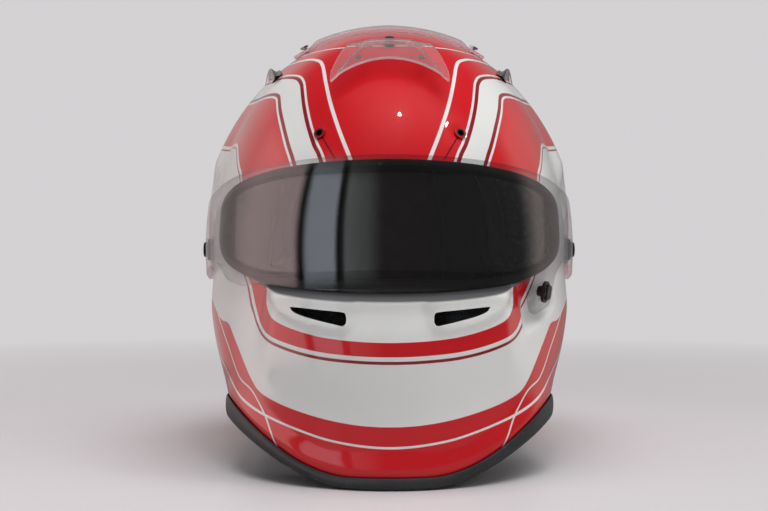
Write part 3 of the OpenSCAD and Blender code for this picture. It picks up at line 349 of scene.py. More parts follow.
# ---------------------------------------------------------------- meshes
def grid_quads(n, m, wrap_n=False, wrap_m=False, start=0, back=False):
    """Four-sided faces of a grid of n rows and m columns."""
    i, j = np.meshgrid(np.arange(n if wrap_n else n - 1), np.arange(m if wrap_m else m - 1), indexing="ij")
    a, b = i * m + j, i * m + (j + 1) % m
    c, d = (i + 1) % n * m + (j + 1) % m, (i + 1) % n * m + j
    q = np.stack([a, b, c, d], -1).reshape(-1, 4) + start
    return q[:, ::-1] if back else q


def strip_quads(a, b):
    """Faces between two equal chains of points."""
    return np.stack([a[:-1], a[1:], b[1:], b[:-1]], -1)


def outward(points, faces):
    """The faces, all turned over if together they enclose a negative volume."""
    total = 0.0
    for f in faces:
        p = points[f]
        for k in range(1, f.shape[1] - 1):
            total += np.einsum("ij,ij->", p[:, 0], np.cross(p[:, k], p[:, k + 1]))
    return [f[:, ::-1] for f in faces] if total < 0 else faces


def piece(name, points, faces, crease=35.0):
    """A mesh object at the origin from points in millimetres, smooth but for edges sharper than crease."""
    faces = outward(points, [np.asarray(f) for f in faces])
    me = bpy.data.meshes.new(name)
    me.from_pydata((points * 0.001).tolist(), [], [row for f in faces for row in f.tolist()])
    me.shade_smooth()
    me.set_sharp_from_angle(angle=math.radians(crease))
    me.update()
    o = bpy.data.objects.new(name, me)
    bpy.context.scene.collection.objects.link(o)
    return o


def plate_parts(top, under):
    """Points and faces of a plate between two sheets with the same rows and columns."""
    n, m = top.shape[:2]
    k = n * m
    first, last = np.arange(m), (n - 1) * m + np.arange(m)
    left, right = np.arange(n) * m, np.arange(n) * m + m - 1
    faces = [grid_quads(n, m), grid_quads(n, m, start=k, back=True), strip_quads(first, first + k)[:, ::-1],
             strip_quads(last, last + k), strip_quads(left, left + k), strip_quads(right, right + k)[:, ::-1]]
    return np.concatenate([top.reshape(-1, 3), under.reshape(-1, 3)]), faces


def tube_parts(rings):
    """Points and faces of a closed tube of rings with a fan at each end."""
    n, m = rings.shape[:2]
    j = np.arange(m)
    ends = np.stack([rings[0].mean(0), rings[-1].mean(0)])
    caps = [np.stack([(j + 1) % m, j, np.full(m, n * m)], -1),
            np.stack([(n - 1) * m + j, (n - 1) * m + (j + 1) % m, np.full(m, n * m + 1)], -1)]
    return np.concatenate([rings.reshape(-1, 3), ends]), [grid_quads(n, m, wrap_m=True), *caps]


def ring_tube(rings):
    """Points and faces of rings joined into a closed loop, each ring an outline across it."""
    return rings.reshape(-1, 3), [grid_quads(*rings.shape[:2], True, True)]


def bowl_parts(outer, outer_top, inner, inner_top):
    """Points and faces of a bowl open downward: rings from the rim to a pole, outside and inside."""
    n, m, k = len(outer), outer.shape[1], len(outer) * outer.shape[1]
    n2, j = len(inner), np.arange(outer.shape[1])
    nxt, tot = (j + 1) % m, k + n2 * m
    pts = np.concatenate([outer.reshape(-1, 3), inner.reshape(-1, 3), outer_top[None], inner_top[None]])
    fan = np.stack([(n - 1) * m + j, (n - 1) * m + nxt, np.full(m, tot)], -1)
    fan2 = np.stack([k + (n2 - 1) * m + nxt, k + (n2 - 1) * m + j, np.full(m, tot + 1)], -1)
    rim = np.stack([nxt, j, k + j, k + nxt], -1)
    walls = [grid_quads(n, m, wrap_m=True), grid_quads(n2, m, wrap_m=True, start=k, back=True)]
    return pts, [*walls, fan, fan2, rim]


def joined(parts):
    """Several closed shapes as one list of points and faces, each turned the right way out first."""
    pts, faces, start = [], [], 0
    for p, f in parts:
        faces += [g + start for g in outward(p, f)]
        pts.append(p)
        start += len(p)
    return np.concatenate(pts), faces


def ring_of(u, v, radius, sides):
    """The points of a circle about the origin, turning from one direction to another."""
    a = np.radians(np.arange(sides) * 360 / sides)[:, None]
    return radius * (np.cos(a) * u + np.sin(a) * v)


def cylinder_parts(spot, radius, low, high, sides=40, mirror=False):
    """A cylinder along the shell's normal at a spot, from low to high above the surface."""
    p, u, v, n = skin_frame(*spot)
    ring = ring_of(u, v, radius, sides)
    rings = np.stack([p + low * n + ring, p + high * n + ring])
    return tube_parts(rings * MIRROR if mirror else rings)


def pivot_parts(radius, sides, near, far, side):
    """A cylinder on the pivots' axis, between two distances from the middle, on one side."""
    ring = ring_of(np.array([0, 1, 0]), UP, radius, sides) + [0, CENTRE[1], CENTRE[2]]
    return tube_parts(np.stack([ring + [side * x, 0, 0] for x in (near, far)]))


def modify(o, kind, **values):
    """Adds a modifier with its values to a piece."""
    m = o.modifiers.new(kind.title().replace("_", ""), kind)
    for key, value in values.items():
        setattr(m, key, value)


def soften(o, width):
    """Rounds a sheet's sharp edges over a width in metres."""
    modify(o, "BEVEL", width=width, segments=2, limit_method="ANGLE", angle_limit=math.radians(55))


def apply_all(o, crease=35.0):
    """Turns a piece's modified shape into its mesh."""
    dg = bpy.context.evaluated_depsgraph_get()
    me = bpy.data.meshes.new_from_object(o.evaluated_get(dg))
    o.modifiers.clear()
    old, o.data = o.data, me
    bpy.data.meshes.remove(old)
    me.materials.clear()
    me.shade_smooth()
    me.set_sharp_from_angle(angle=math.radians(crease))


def cut(o, parts, crease=35.0):
    """Cuts closed shapes out of a piece and applies the cut."""
    pts, faces = joined(parts)
    tool = piece("cutting_shape", pts, faces)
    modify(o, "BOOLEAN", operation="DIFFERENCE", object=tool, solver="MANIFOLD")
    before = len(o.data.polygons)
    apply_all(o, crease)
    me = tool.data
    bpy.data.objects.remove(tool)
    bpy.data.meshes.remove(me)
    if len(o.data.polygons) in (0, before):
        raise RuntimeError(f"{o.name} could not be cut")


def places(o):
    """A piece's points in millimetres."""
    co = np.empty(len(o.data.vertices) * 3)
    o.data.vertices.foreach_get("co", co)
    return co.reshape(-1, 3) * 1000


def keep(o, name, values):
    """Stores one number for each point of a piece."""
    layer = o.data.attributes.new(name, "FLOAT", "POINT")
    layer.data.foreach_set("value", np.asarray(values, np.float32).ravel())


def lay_uv(o, uv_of_points):
    """Stores a flat place, in millimetres, for each corner of each face."""
    loops = np.empty(len(o.data.loops), int)
    o.data.loops.foreach_get("vertex_index", loops)
    layer = o.data.uv_layers.new(name="cloth_lay")
    layer.data.foreach_set("uv", uv_of_points[loops].astype(np.float32).ravel())


# ---------------------------------------------------------------- materials
class Nodes:
    """Short ways to add and join the nodes of one material or world."""

    def __init__(self, owner, last="OutputMaterial"):
        """Clears the owner's nodes and adds its output."""
        self.owner = owner
        owner.use_nodes = True
        self.tree = owner.node_tree
        self.tree.nodes.clear()
        self.last = self.add(last)

    def add(self, kind, sockets=None, **values):
        """A node with its settings, and a value or an output for some of its sockets."""
        node = self.tree.nodes.new("ShaderNode" + kind)
        for key, value in values.items():
            setattr(node, key, value)
        for key, value in (sockets or {}).items():
            self.put(node.inputs[key], value)
        return node

    def put(self, socket, value):
        """Joins an output to a socket, or sets the socket's own value."""
        if isinstance(value, bpy.types.NodeSocket):
            self.tree.links.new(value, socket)
        elif socket.type == "RGBA" and len(value) == 3:
            socket.default_value = (*value, 1)
        else:
            socket.default_value = value

    def math(self, how, *values):
        """Arithmetic on numbers and outputs."""
        return self.add("Math", dict(enumerate(values)), operation=how).outputs[0]

    def times(self, a, b):
        """The product of two numbers or outputs."""
        return self.math("MULTIPLY", a, b)

    def ramp(self, value, low, high, to_low=0.0, to_high=1.0):
        """A value carried in a straight line from one span to another, and held at the ends."""
        sockets = {"Value": value, "From Min": low, "From Max": high, "To Min": to_low, "To Max": to_high}
        return self.add("MapRange", sockets).outputs[0]

    def step(self, value, at, soft=0.14):
        """0 below a value and 1 above it, over a short ramp."""
        return self.ramp(value, at - soft, at + soft)

    def below(self, value, at, soft=0.14):
        """1 below a value and 0 above it, over a short ramp."""
        return self.math("SUBTRACT", 1.0, self.step(value, at, soft))

    def band(self, value, low, high):
        """1 where a value lies between two others."""
        return self.times(self.step(value, low), self.below(value, high))

    def mix(self, share, a, b):
        """One colour turning into another by a share."""
        return self.add("Mix", {0: share, 6: a, 7: b}, data_type="RGBA").outputs[2]

    def attribute(self, name):
        """A number kept on the piece's points."""
        return self.add("Attribute", attribute_name=name).outputs["Fac"]

    def coords(self, scale=(1, 1, 1), source="Object", turn_by=(0, 0, 0)):
        """The place on the piece, or in its flat lay, scaled and turned."""
        place = self.add("TexCoord").outputs[source]
        return self.add("Mapping", {"Vector": place, "Scale": scale, "Rotation": turn_by}).outputs[0]

    def noise(self, vector, scale, detail=3.0, rough=0.55):
        """Fractal noise."""
        sockets = {"Vector": vector, "Scale": scale, "Detail": detail, "Roughness": rough}
        return self.add("TexNoise", sockets).outputs["Fac"]

    def smears(self):
        """Wiped smears, longer up and down than across."""
        return self.noise(self.coords((1, 1, 0.5)), 14.0, 6.0, 0.7)

    def wave(self, vector, way, scale, distortion=0.0):
        """Smooth bands one way across."""
        return self.add("TexWave", {"Vector": vector, "Scale": scale, "Distortion": distortion},
                        wave_type="BANDS", bands_direction=way, wave_profile="SIN").outputs["Fac"]

    def vector(self, how, a, b=(0.0, 0.0, 0.0)):
        """Arithmetic on vectors, as a vector, or as a number where that is what it gives."""
        node = self.add("VectorMath", {0: a, "Scale" if how == "SCALE" else 1: b}, operation=how)
        return node.outputs["Value" if how in ("DOT_PRODUCT", "LENGTH") else "Vector"]

    def bump(self, height, distance, strength):
        """A normal tipped by a height."""
        sockets = {"Strength": strength, "Distance": distance, "Height": height}
        return self.add("Bump", sockets).outputs[0]

    def ray(self, kind):
        """What the light path says of a ray."""
        return self.add("LightPath").outputs[kind]

    def shader(self, kind, **sockets):
        """A shader with each named socket set or joined."""
        return self.add(kind, {key.replace("_", " "): value for key, value in sockets.items()}).outputs[0]

    def principled(self, **sockets):
        """The general surface shader."""
        return self.shader("BsdfPrincipled", **sockets)

    def blend(self, share, first, second):
        """One shader turning into another by a share."""
        return self.add("MixShader", {0: share, 1: first, 2: second}).outputs[0]

    def finish(self, shader):
        """Joins the last shader to the output and gives back the material or world."""
        self.put(self.last.inputs["Surface"], shader)
        return self.owner


def new_nodes(name):
    """The nodes of a new material."""
    return Nodes(bpy.data.materials.new(name))


def scaled(shade, by, more=0.0):
    """A colour times a factor, with a little added, held within 1."""
    return tuple(min(1.0, c * by + more) for c in shade)


def paint_material(look):
    """Lacquered livery and painted shade, drawn by the distances that paint_edges keeps on the shell's
    points.

    A colour changes where its distance passes nought. The fine lines follow the edges, or lie along
    chains of their own, and their places and widths are counted in line widths.
    """
    n = new_nodes("shell_paint")
    red, white, dark = tuple(look.red), tuple(look.white), tuple(look.dark_line)
    w = look.line_width * 1000
    cheek, side, chin, vent, out, inn, turned, run, pitch, aside = (
        n.attribute(a) for a in ("cheek_edge", "side_panel", "chin_band", "vent_panel", "band_out", "band_in",
                                 "round", "groove_run", "pitch", "aside"))
    stripe, crown, diagonal, low, groove = (
        n.math("ABSOLUTE", n.attribute(a))
        for a in ("stripe", "crown_line", "diagonal", "low_line", "groove"))
    o = n.coords()
    deep = n.mix(n.ramp(n.noise(o, 9.0, 4.0), 0.35, 0.7), red, scaled(red, 0.93))
    pale = n.mix(n.ramp(n.noise(o, 14.0, 2.0), 0.3, 0.75), white, scaled(white, 0.975))
    band = n.math("MINIMUM", out, n.times(inn, -1.0))
    # The chin's middle, which takes the ledge's painted shade
    middle = n.below(aside, 34.0, 0.6)
    # The groove from each forehead port: a dip of the bump, with painted shade in it as a darker red
    shaded_groove = n.times(n.below(groove, 0.5), n.band(run, 0.0, 1.0))
    col = deep
    for share, shade in (
            # The white side and cheek, inside the side panel's edge and outside the low red, and their lines
            (n.step(n.math("MINIMUM", side, cheek), 0.0), pale),
            (n.times(n.band(side, 2.0 * w, 3.0 * w), n.step(cheek, 0.0)), dark),
            (n.times(n.band(cheek, 1.4 * w, 2.2 * w), n.step(turned, 104.0, 4.0)), dark),
            # The wide pale band over the brow and the lines beside it
            (n.step(band, 0.0), pale),
            (n.band(band, -3.6 * w, 0.0), dark),
            (n.band(band, -3.6 * w, -2.2 * w), pale),
            (n.below(stripe, w), pale),
            (n.below(crown, 0.6 * w), pale),
            # The chin: a red band round the vent panel with a dark line, and two thin pale lines
            (n.step(chin, 0.0), deep),
            (n.band(chin, -3.8 * w, -2.2 * w), dark),
            (n.step(vent, 0.0), pale),
            (n.times(n.below(diagonal, 0.45 * w), n.below(turned, 61.0, 0.2)), pale),
            (n.times(n.below(low, 0.55 * w), n.below(turned, 76.0, 0.2)), pale),
            # Painted shade on the chin's ledge: grey on its top for the visor's shadow, and black just under
            # the visor for the eyeport's dark
            (n.times(n.band(pitch, LEDGE_END + 0.1, 0.0), middle), (0.13, 0.13, 0.135)),
            (n.times(n.band(pitch, LEDGE_START - 0.1, 0.0), middle), (0.004, 0.004, 0.004)),
            # Painted shade in the ports' grooves
            (shaded_groove, scaled(red, 0.25))):
        col = n.mix(share, col, shade)
    height = n.math("SUBTRACT", n.times(n.noise(o, 420.0, 1.0), 0.3), n.times(shaded_groove, 4.0))
    return n.finish(n.principled(
        Base_Color=col, Roughness=n.ramp(n.noise(o, 22.0, 3.0, 0.5), 0.3, 0.75, 0.3, 0.36),
        Specular_IOR_Level=0.22, Coat_Weight=0.9, Coat_Roughness=0.035, Coat_IOR=1.5,
        Normal=n.bump(height, 0.0001, 0.25)))


def bare_composite():
    """The shell's unpainted inside: woven cloth under resin, as a fine check."""
    n = new_nodes("bare_composite")
    check = n.add("TexChecker", {"Vector": n.coords((420, 420, 420), turn_by=(0.4, 0.3, 0.78)), "Scale": 1.0,
                                 "Color1": (0.012, 0.012, 0.013), "Color2": (0.03, 0.03, 0.032)})
    return n.finish(n.principled(
        Base_Color=check.outputs[0], Roughness=n.ramp(n.noise(n.coords(), 60.0), 0.3, 0.7, 0.35, 0.6),
        Normal=n.bump(check.outputs["Fac"], 0.0001, 0.3)))


def rubber_material(name, shade, rough=0.5, grain=900.0):
    """Moulded rubber or nylon: fine grain, faint bloom and dust in it."""
    n = new_nodes(name)
    o = n.coords()
    bloom = n.noise(o, 26.0, 5.0, 0.65)
    col = n.mix(n.ramp(bloom, 0.4, 0.75), shade, scaled(shade, 1.7, 0.006))
    dust = n.times(n.step(n.noise(o, 700.0, 1.0), 0.74, 0.02), 0.35)
    return n.finish(n.principled(
        Base_Color=n.mix(dust, col, (0.3, 0.29, 0.28)),
        Roughness=n.ramp(bloom, 0.3, 0.8, rough - 0.08, rough + 0.12),
        Specular_IOR_Level=0.4, Normal=n.bump(n.noise(o, grain, 2.0), 0.00015, 0.35)))


def metal_material(name, shade, rough=0.25, metal=1.0):
    """Turned metal: fine scratches stretched one way, and a slightly uneven shine."""
    n = new_nodes(name)
    fine = n.noise(n.coords((1, 1, 12)), 900.0, 2.0)
    worn = n.ramp(n.noise(n.coords(), 90.0, 4.0), 0.35, 0.7)
    return n.finish(n.principled(
        Base_Color=n.mix(worn, shade, scaled(shade, 0.8)), Metallic=metal,
        Roughness=n.ramp(fine, 0.3, 0.7, rough - 0.06, rough + 0.1), Normal=n.bump(fine, 0.00004, 0.4)))


def clear_material(name, tint, rims=0.0, haze=0.0):
    """Clear polycarbonate: smooth glass with a tint and faint smears, which lets the lamps through.

    The sawn edges of its plates stand square to the shell, so there the normal and the direction from
    the centre have a small product. rims is how frosted those edges are, and haze how frosted the rest is.
    """
    n = new_nodes(name)
    glass = n.principled(Base_Color=tint, Transmission_Weight=1.0, IOR=1.5,
                         Roughness=n.ramp(n.smears(), 0.5, 0.8, 0.03, 0.06))
    lit = n.blend(n.ray("Is Shadow Ray"), glass, n.shader("BsdfTransparent", Color=scaled(tint, 0.92)))
    away = n.vector("NORMALIZE", n.vector("SUBTRACT", n.coords(), tuple(CENTRE * 0.001)))
    square = n.math("ABSOLUTE", n.vector("DOT_PRODUCT", away, n.add("NewGeometry").outputs["True Normal"]))
    frost = n.shader("BsdfDiffuse", Color=(0.95, 0.82, 0.83))
    return n.finish(n.blend(n.ramp(square, 0.2, 0.35, rims, haze), lit, frost))


def port_material(name, shade, rim):
    """A forehead port: its rim in the paint's colour, and black from the bore inward.

    Both ports are folded onto the left one, and the distance from its axis tells rim from bore.
    """
    n = new_nodes(name)
    folded = n.vector("MULTIPLY", n.vector("ABSOLUTE", n.coords()), (1.0, -1.0, 1.0))
    off = n.vector("SUBTRACT", folded, PORT_POINT)
    along = n.vector("SCALE", PORT_WAY, n.vector("DOT_PRODUCT", off, PORT_WAY))
    from_axis = n.vector("LENGTH", n.vector("SUBTRACT", off, along))
    col = n.mix(n.step(from_axis, PORT_RIM, 0.0001), shade, rim)
    return n.finish(n.principled(Base_Color=col, Roughness=0.3))


def film_material(name, tint):
    """A thin clear sheet: straight through with a tint, under a mirror that grows towards its edges.

    The mirror's share is Schlick's rule from the angle alone, so that it holds on both faces.
    """
    n = new_nodes(name)
    through = n.shader("BsdfTransparent", Color=tint)
    mirror = n.shader("BsdfGlossy", Color=(1.0, 1.0, 1.0), Roughness=n.ramp(n.smears(), 0.5, 0.8, 0.02, 0.05))
    edge = n.math("POWER", n.add("LayerWeight", {"Blend": 0.5}).outputs["Facing"], 5.0)
    return n.finish(n.blend(n.math("MULTIPLY_ADD", edge, 0.6, 0.042), through, mirror))


def cloth_material(name, shade):
    """Knitted or brushed cloth: crossed rows of fine ribs, fluff, and a soft sheen."""
    n = new_nodes(name)
    o = n.coords()
    weave = n.times(*(n.wave(o, way, 1500.0, 1.2) for way in ("X", "Z")))
    fluff = n.noise(n.coords(), 60.0, 6.0, 0.7)
    col = n.mix(n.ramp(fluff, 0.35, 0.75), scaled(shade, 0.75), scaled(shade, 1.35))
    return n.finish(n.principled(
        Base_Color=n.mix(n.times(weave, 0.35), col, scaled(shade, 0.45)), Roughness=0.92, Sheen_Weight=0.35,
        Sheen_Roughness=0.45, Specular_IOR_Level=0.2,
        Normal=n.bump(n.math("ADD", n.times(weave, 0.6), fluff), 0.0004, 0.5)))


def webbing_material():
    """Woven webbing: ribs along its length crossed by a fine slanting twill, from the strap's own lay."""
    n = new_nodes("webbing_weave")
    lay = n.coords(source="UV")
    both = n.math("ADD", n.times(n.wave(lay, "Y", 0.18), 0.7), n.times(n.wave(lay, "DIAGONAL", 0.28), 0.5))
    col = n.mix(n.ramp(both, 0.2, 1.0), (0.012, 0.012, 0.013), (0.05, 0.05, 0.052))
    return n.finish(n.principled(Base_Color=col, Roughness=0.8, Sheen_Weight=0.2, Specular_IOR_Level=0.25,
                                 Normal=n.bump(both, 0.0005, 0.6)))


def foam_material():
    """Expanded foam: pressed beads as cells, each darker towards its edge as painted shade in the seams."""
    n = new_nodes("energy_foam_beads")
    far = n.add("TexVoronoi", {"Vector": n.coords(), "Scale": 320.0}, feature="F1").outputs["Distance"]
    # Painted shade: darker away from each bead's middle, into the seams
    col = n.mix(n.ramp(far, 0.1, 0.6), (0.055, 0.055, 0.06), (0.02, 0.02, 0.022))
    return n.finish(n.principled(Base_Color=col, Roughness=0.75, Specular_IOR_Level=0.3,
                                 Normal=n.bump(n.math("SUBTRACT", 1.0, far), 0.0004, 0.5)))


def finishes(look):
    """What makes each finish, and with which values."""
    clear = tuple(look.clear_tint)
    rosy = tuple(c * k for c, k in zip(clear, (1.0, 0.87, 0.89)))
    return {
        "paint": (paint_material, look),
        "bare": (bare_composite,),
        "rubber": (rubber_material, "moulded_rubber", (0.026, 0.026, 0.028), 0.46),
        # The seal's black rubber, made darker than the beading's as painted shade of the eyeport
        "seal": (rubber_material, "seal_rubber", (0.003, 0.003, 0.0035), 0.6),
        "grey_rubber": (rubber_material, "bumper_rubber", (0.07, 0.065, 0.065), 0.6),
        "nylon": (rubber_material, "black_nylon", (0.009, 0.009, 0.01), 0.3, 500.0),
        "port": (port_material, "port_sleeve", (0.006, 0.006, 0.006), scaled(look.red, 0.6)),
        "steel": (metal_material, "turned_steel", (0.58, 0.57, 0.56)),
        "anodised": (metal_material, "black_anodised", (0.02, 0.02, 0.022), 0.3, 0.6),
        "visor": (film_material, "visor_polycarbonate", tuple(look.visor_tint)),
        "pane": (film_material, "fog_pane_polycarbonate", (0.97, 0.97, 0.97)),
        "clear": (clear_material, "clear_polycarbonate", clear),
        "clear_plate": (clear_material, "sawn_polycarbonate", clear, 0.75, 0.06),
        "clear_rear": (clear_material, "rear_polycarbonate", rosy, 0.75, 0.09),
        "cloth": (cloth_material, "brushed_lining", tuple(look.cloth)),
        "webbing": (webbing_material,),
        "foam": (foam_material,),
    }


MADE = {}


def material(name):
    """A finish by name, made the first time it is asked for."""
    if name not in MADE:
        make, *values = finishes(bpy.context.scene.helmet_look)[name]
        MADE[name] = make(*values)
    return MADE[name]


def dress(o, finish, slot, *nodes, body="helmet"):
    """Gives a piece its finish, the nodes it stands for and the body it rides on; slot is not used."""
    if not o.data.materials:
        o.data.materials.append(material(finish))
    if nodes:
        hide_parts(*nodes)
    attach(o, body)
    return o


# ---------------------------------------------------------------- shell
def ledge_el(th, phi):
    """Elevation of the chin's ledge line, easing to a level line behind the cheeks."""
    t = np.minimum(np.abs(th), 62)
    return np.degrees(np.arctan(np.tan(np.radians(phi)) * np.cos(np.radians(t))))


def shell_rings(off, low_rows, high_rows, columns):
    """Rings of directions from the rim through the ledge to the crown."""
    th, a = all_round(columns)
    rim = level_el(a, edge_height(a) - GROOVE + 0.2, off)
    lo, hi = ledge_el(a, LEDGE_END - 0.15), ledge_el(a, LEDGE_START + 0.15)
    t = np.linspace(0, 1, low_rows)[:, None] ** 1.15
    low = rim + (lo - rim) * t
    mid = lo + (hi - lo) * np.linspace(0, 1, 7)[1:-1, None]
    high = hi + (90 - hi) * np.linspace(0, 1, high_rows + 1)[:-1, None]
    return turn(th, np.concatenate([low, mid, high]))


def scoop(p):
    """Height of the raised surround of each chin vent.

    It is a ramp of the distance inside the surround's outline as seen from the front.
    """
    flat = np.stack([np.abs(p[..., 0]), p[..., 2]], -1).reshape(-1, 2)
    ring = eased(SCOOP_EDGE, 5, closed=True)
    gap = from_line(flat, np.vstack([ring, ring[:1]])) * np.where(within(flat, ring), 1, -1)
    front = smooth((-90 - p[..., 1].ravel()) / 8)
    return (2.3 * smooth((gap + 1.2) / 4.2) * front).reshape(p.shape[:-1])


def dimple(p):
    """Depth of the hollow round each forehead port: a Gaussian of the distance from the port."""
    x, y, z = on_skin(aim(*PORT_HOLE))
    gap = np.linalg.norm(p - np.where(p[..., :1] < 0, [-x, y, z], [x, y, z]), axis=-1)
    return -0.9 * np.exp(-((gap / 5.5) ** 2))


def port_top(lam):
    """The eyeport's upper edge in degrees round the visor's axis, rising by a power of the angle aside."""
    return PORT_TOP + 10.5 * (np.abs(lam) / PORT_SIDE) ** 2.2


def port_low(lam):
    """The eyeport's lower edge in degrees round the visor's axis, falling a little to the sides."""
    return PORT_LOW - 1.7 * smooth(np.abs(lam) / 36)


def port_edge(u):
    """The eyeport's outline, a superellipse between its upper and lower edges."""
    c, s = np.cos(np.radians(u)), np.sin(np.radians(u))
    p = np.where(s >= 0, 8, 3.4)
    lam = PORT_SIDE * np.sign(c) * np.abs(c) ** (2 / p)
    top, low = port_top(lam), port_low(lam)
    return on_skin(aim(lam, (top + low) / 2 + (top - low) / 2 * np.sign(s) * np.abs(s) ** (2 / p)))


def port_loop(steps):
    """Points round the eyeport's edge, spread evenly, and the way outward along the surface at each."""
    u = np.linspace(0, 360, 4001)[:-1]
    e = port_edge(u)
    run = np.concatenate([[0], np.cumsum(np.linalg.norm(np.roll(e, -1, 0) - e, axis=1))])
    at = np.arange(steps) / steps * run[-1]
    u = np.interp(at, run, np.linspace(0, 360, 4001))
    e = port_edge(u)
    e = 0.5 * e + 0.25 * (np.roll(e, 1, 0) + np.roll(e, -1, 0))
    t = unit(np.roll(e, -1, 0) - np.roll(e, 1, 0))
    return e, unit(np.cross(t, unit(e - CENTRE)))


def beside_port(loop, g, k):
    """Points g outward from the eyeport's edge along the surface and k above it."""
    e, f = loop
    d = unit(e + g * f - CENTRE)
    return CENTRE + (skin(d) + k)[..., None] * d


def vent_parts(mirror):
    """The chin vent's opening: its outline seen from the front, carried back."""
    x, z = eased(VENT_EDGE, 5, closed=True).T
    rings = np.stack([np.stack([x, np.full(len(x), y), z], -1) for y in VENT_CUT])
    return tube_parts(rings * MIRROR if mirror else rings)


def rear_vent_parts(mirror):
    """The rear vent's slot: a flat-sided oval along the surface."""
    p, u, v, n = skin_frame(*REAR_VENT)
    a = np.radians(np.arange(48) * 7.5)[:, None]
    along = SLOT_RADIUS * np.cos(a) + SLOT_HALF * np.sign(np.cos(a))
    ring = along * u + SLOT_RADIUS * np.sin(a) * v
    rings = np.stack([p - 9 * n + ring, p + 6 * n + ring])
    return tube_parts(rings * MIRROR if mirror else rings)


def paint_edges(o):
    """Keeps on each point its distance from every colour edge, more than nought on the inner side.

    Both halves are folded onto the left one. The place beside and along the port's groove is kept too,
    and three angles: round from the front, aside from the middle, and above level.
    """
    p = places(o)
    p[:, 0] = np.abs(p[:, 0])
    d = unit(p - CENTRE)
    p = on_skin(d)
    flat = polar(d)
    for name, (points, *corners) in LIVERY.items():
        dirs = unit(eased(turn(*np.array(points, float).T), 5))
        ring = np.vstack([polar(dirs), np.array(corners, float)])
        keep(o, name, beside_line(p, on_skin(dirs), ring, flat))
    a, b = on_skin(aim(*PORT_HOLE)), on_skin(aim(*GROOVE_END))
    side = unit(np.cross(b - a, unit((a + b) / 2 - CENTRE)))
    keep(o, "groove", (p - a) @ side)
    keep(o, "groove_run", (p - a) @ unit(b - a) / np.linalg.norm(b - a))
    keep(o, "round", np.degrees(np.arctan2(d[:, 0], -d[:, 1])))
    keep(o, "aside", np.degrees(np.arctan2(d[:, 0], np.hypot(d[:, 1], d[:, 2]))))
    keep(o, "pitch", np.degrees(np.arctan2(d[:, 2], np.where(d[:, 1] < 0, -d[:, 1], 1e-3))))


def bare_inside(o):
    """Gives the shell its paint, and the bare composite where its faces look inward."""
    me = o.data
    normal, middle = np.empty(len(me.polygons) * 3), np.empty(len(me.polygons) * 3)
    me.polygons.foreach_get("normal", normal)
    me.polygons.foreach_get("center", middle)
    normal, away = normal.reshape(-1, 3), middle.reshape(-1, 3) * 1000 - CENTRE
    # The flared bottom's inside looks downward, so the level way outward counts too
    facing = np.minimum((normal * unit(away)).sum(1), (normal[:, :2] * unit(away[:, :2])).sum(1))
    me.materials.append(material("paint"))
    me.materials.append(material("bare"))
    me.polygons.foreach_set("material_index", (facing < INWARD).astype(np.int32))


class HELMET_OT_shell(bpy.types.Operator):
    """Make the painted shell with its eyeport, vents and holes"""
    bl_idname = "helmet.shell"
    bl_label = "Painted Shell"

    def execute(self, context):
        outer = shell_rings(0.0, 46, 88, SHELL_COLUMNS)
        inner = shell_rings(-WALL, 18, 34, SHELL_COLUMNS)
        p = on_skin(outer)
        p = flared(p + (scoop(p) + dimple(p))[..., None] * outer)
        q = flared(on_skin(inner, -WALL))
        o = piece("painted_shell", *bowl_parts(p, on_skin(UP), q, on_skin(UP, -WALL)))
        # The eyeport is cut along lines from the centre, inside the lip that the seal grips
        edge = beside_port(port_loop(288), -SEAL_LIP, 0.0) - CENTRE
        parts = [tube_parts(np.stack([CENTRE + 0.7 * edge, CENTRE + 1.8 * edge]))]
        holes = [(PORT_HOLE, PORT_BORE), (ANCHOR, ANCHOR_HOLE), (RIVET, RIVET_HOLE),
                 *((spot, SCREW_HOLE) for spot in SPOILER_SPOTS)]
        for mirror in (False, True):
            parts += [vent_parts(mirror), rear_vent_parts(mirror)]
            parts += [cylinder_parts(*hole, CUT_IN, CUT_OUT, mirror=mirror) for hole in holes]
        parts.append(cylinder_parts(FOOT_SPOT, SCREW_HOLE, CUT_IN, CUT_OUT))
        cut(o, parts)
        for side in (-1, 1):
            cut(o, [pivot_parts(PIVOT_HOLE, sides=48, near=104, far=124, side=side),
                    cylinder_parts(RIVET, RIVET_SEAT, low=-1.7, high=CUT_OUT, mirror=side < 0)])
        paint_edges(o)
        bare_inside(o)
        dress(o, "paint", "shell_paint", "outer_shell")
        return {"FINISHED"}


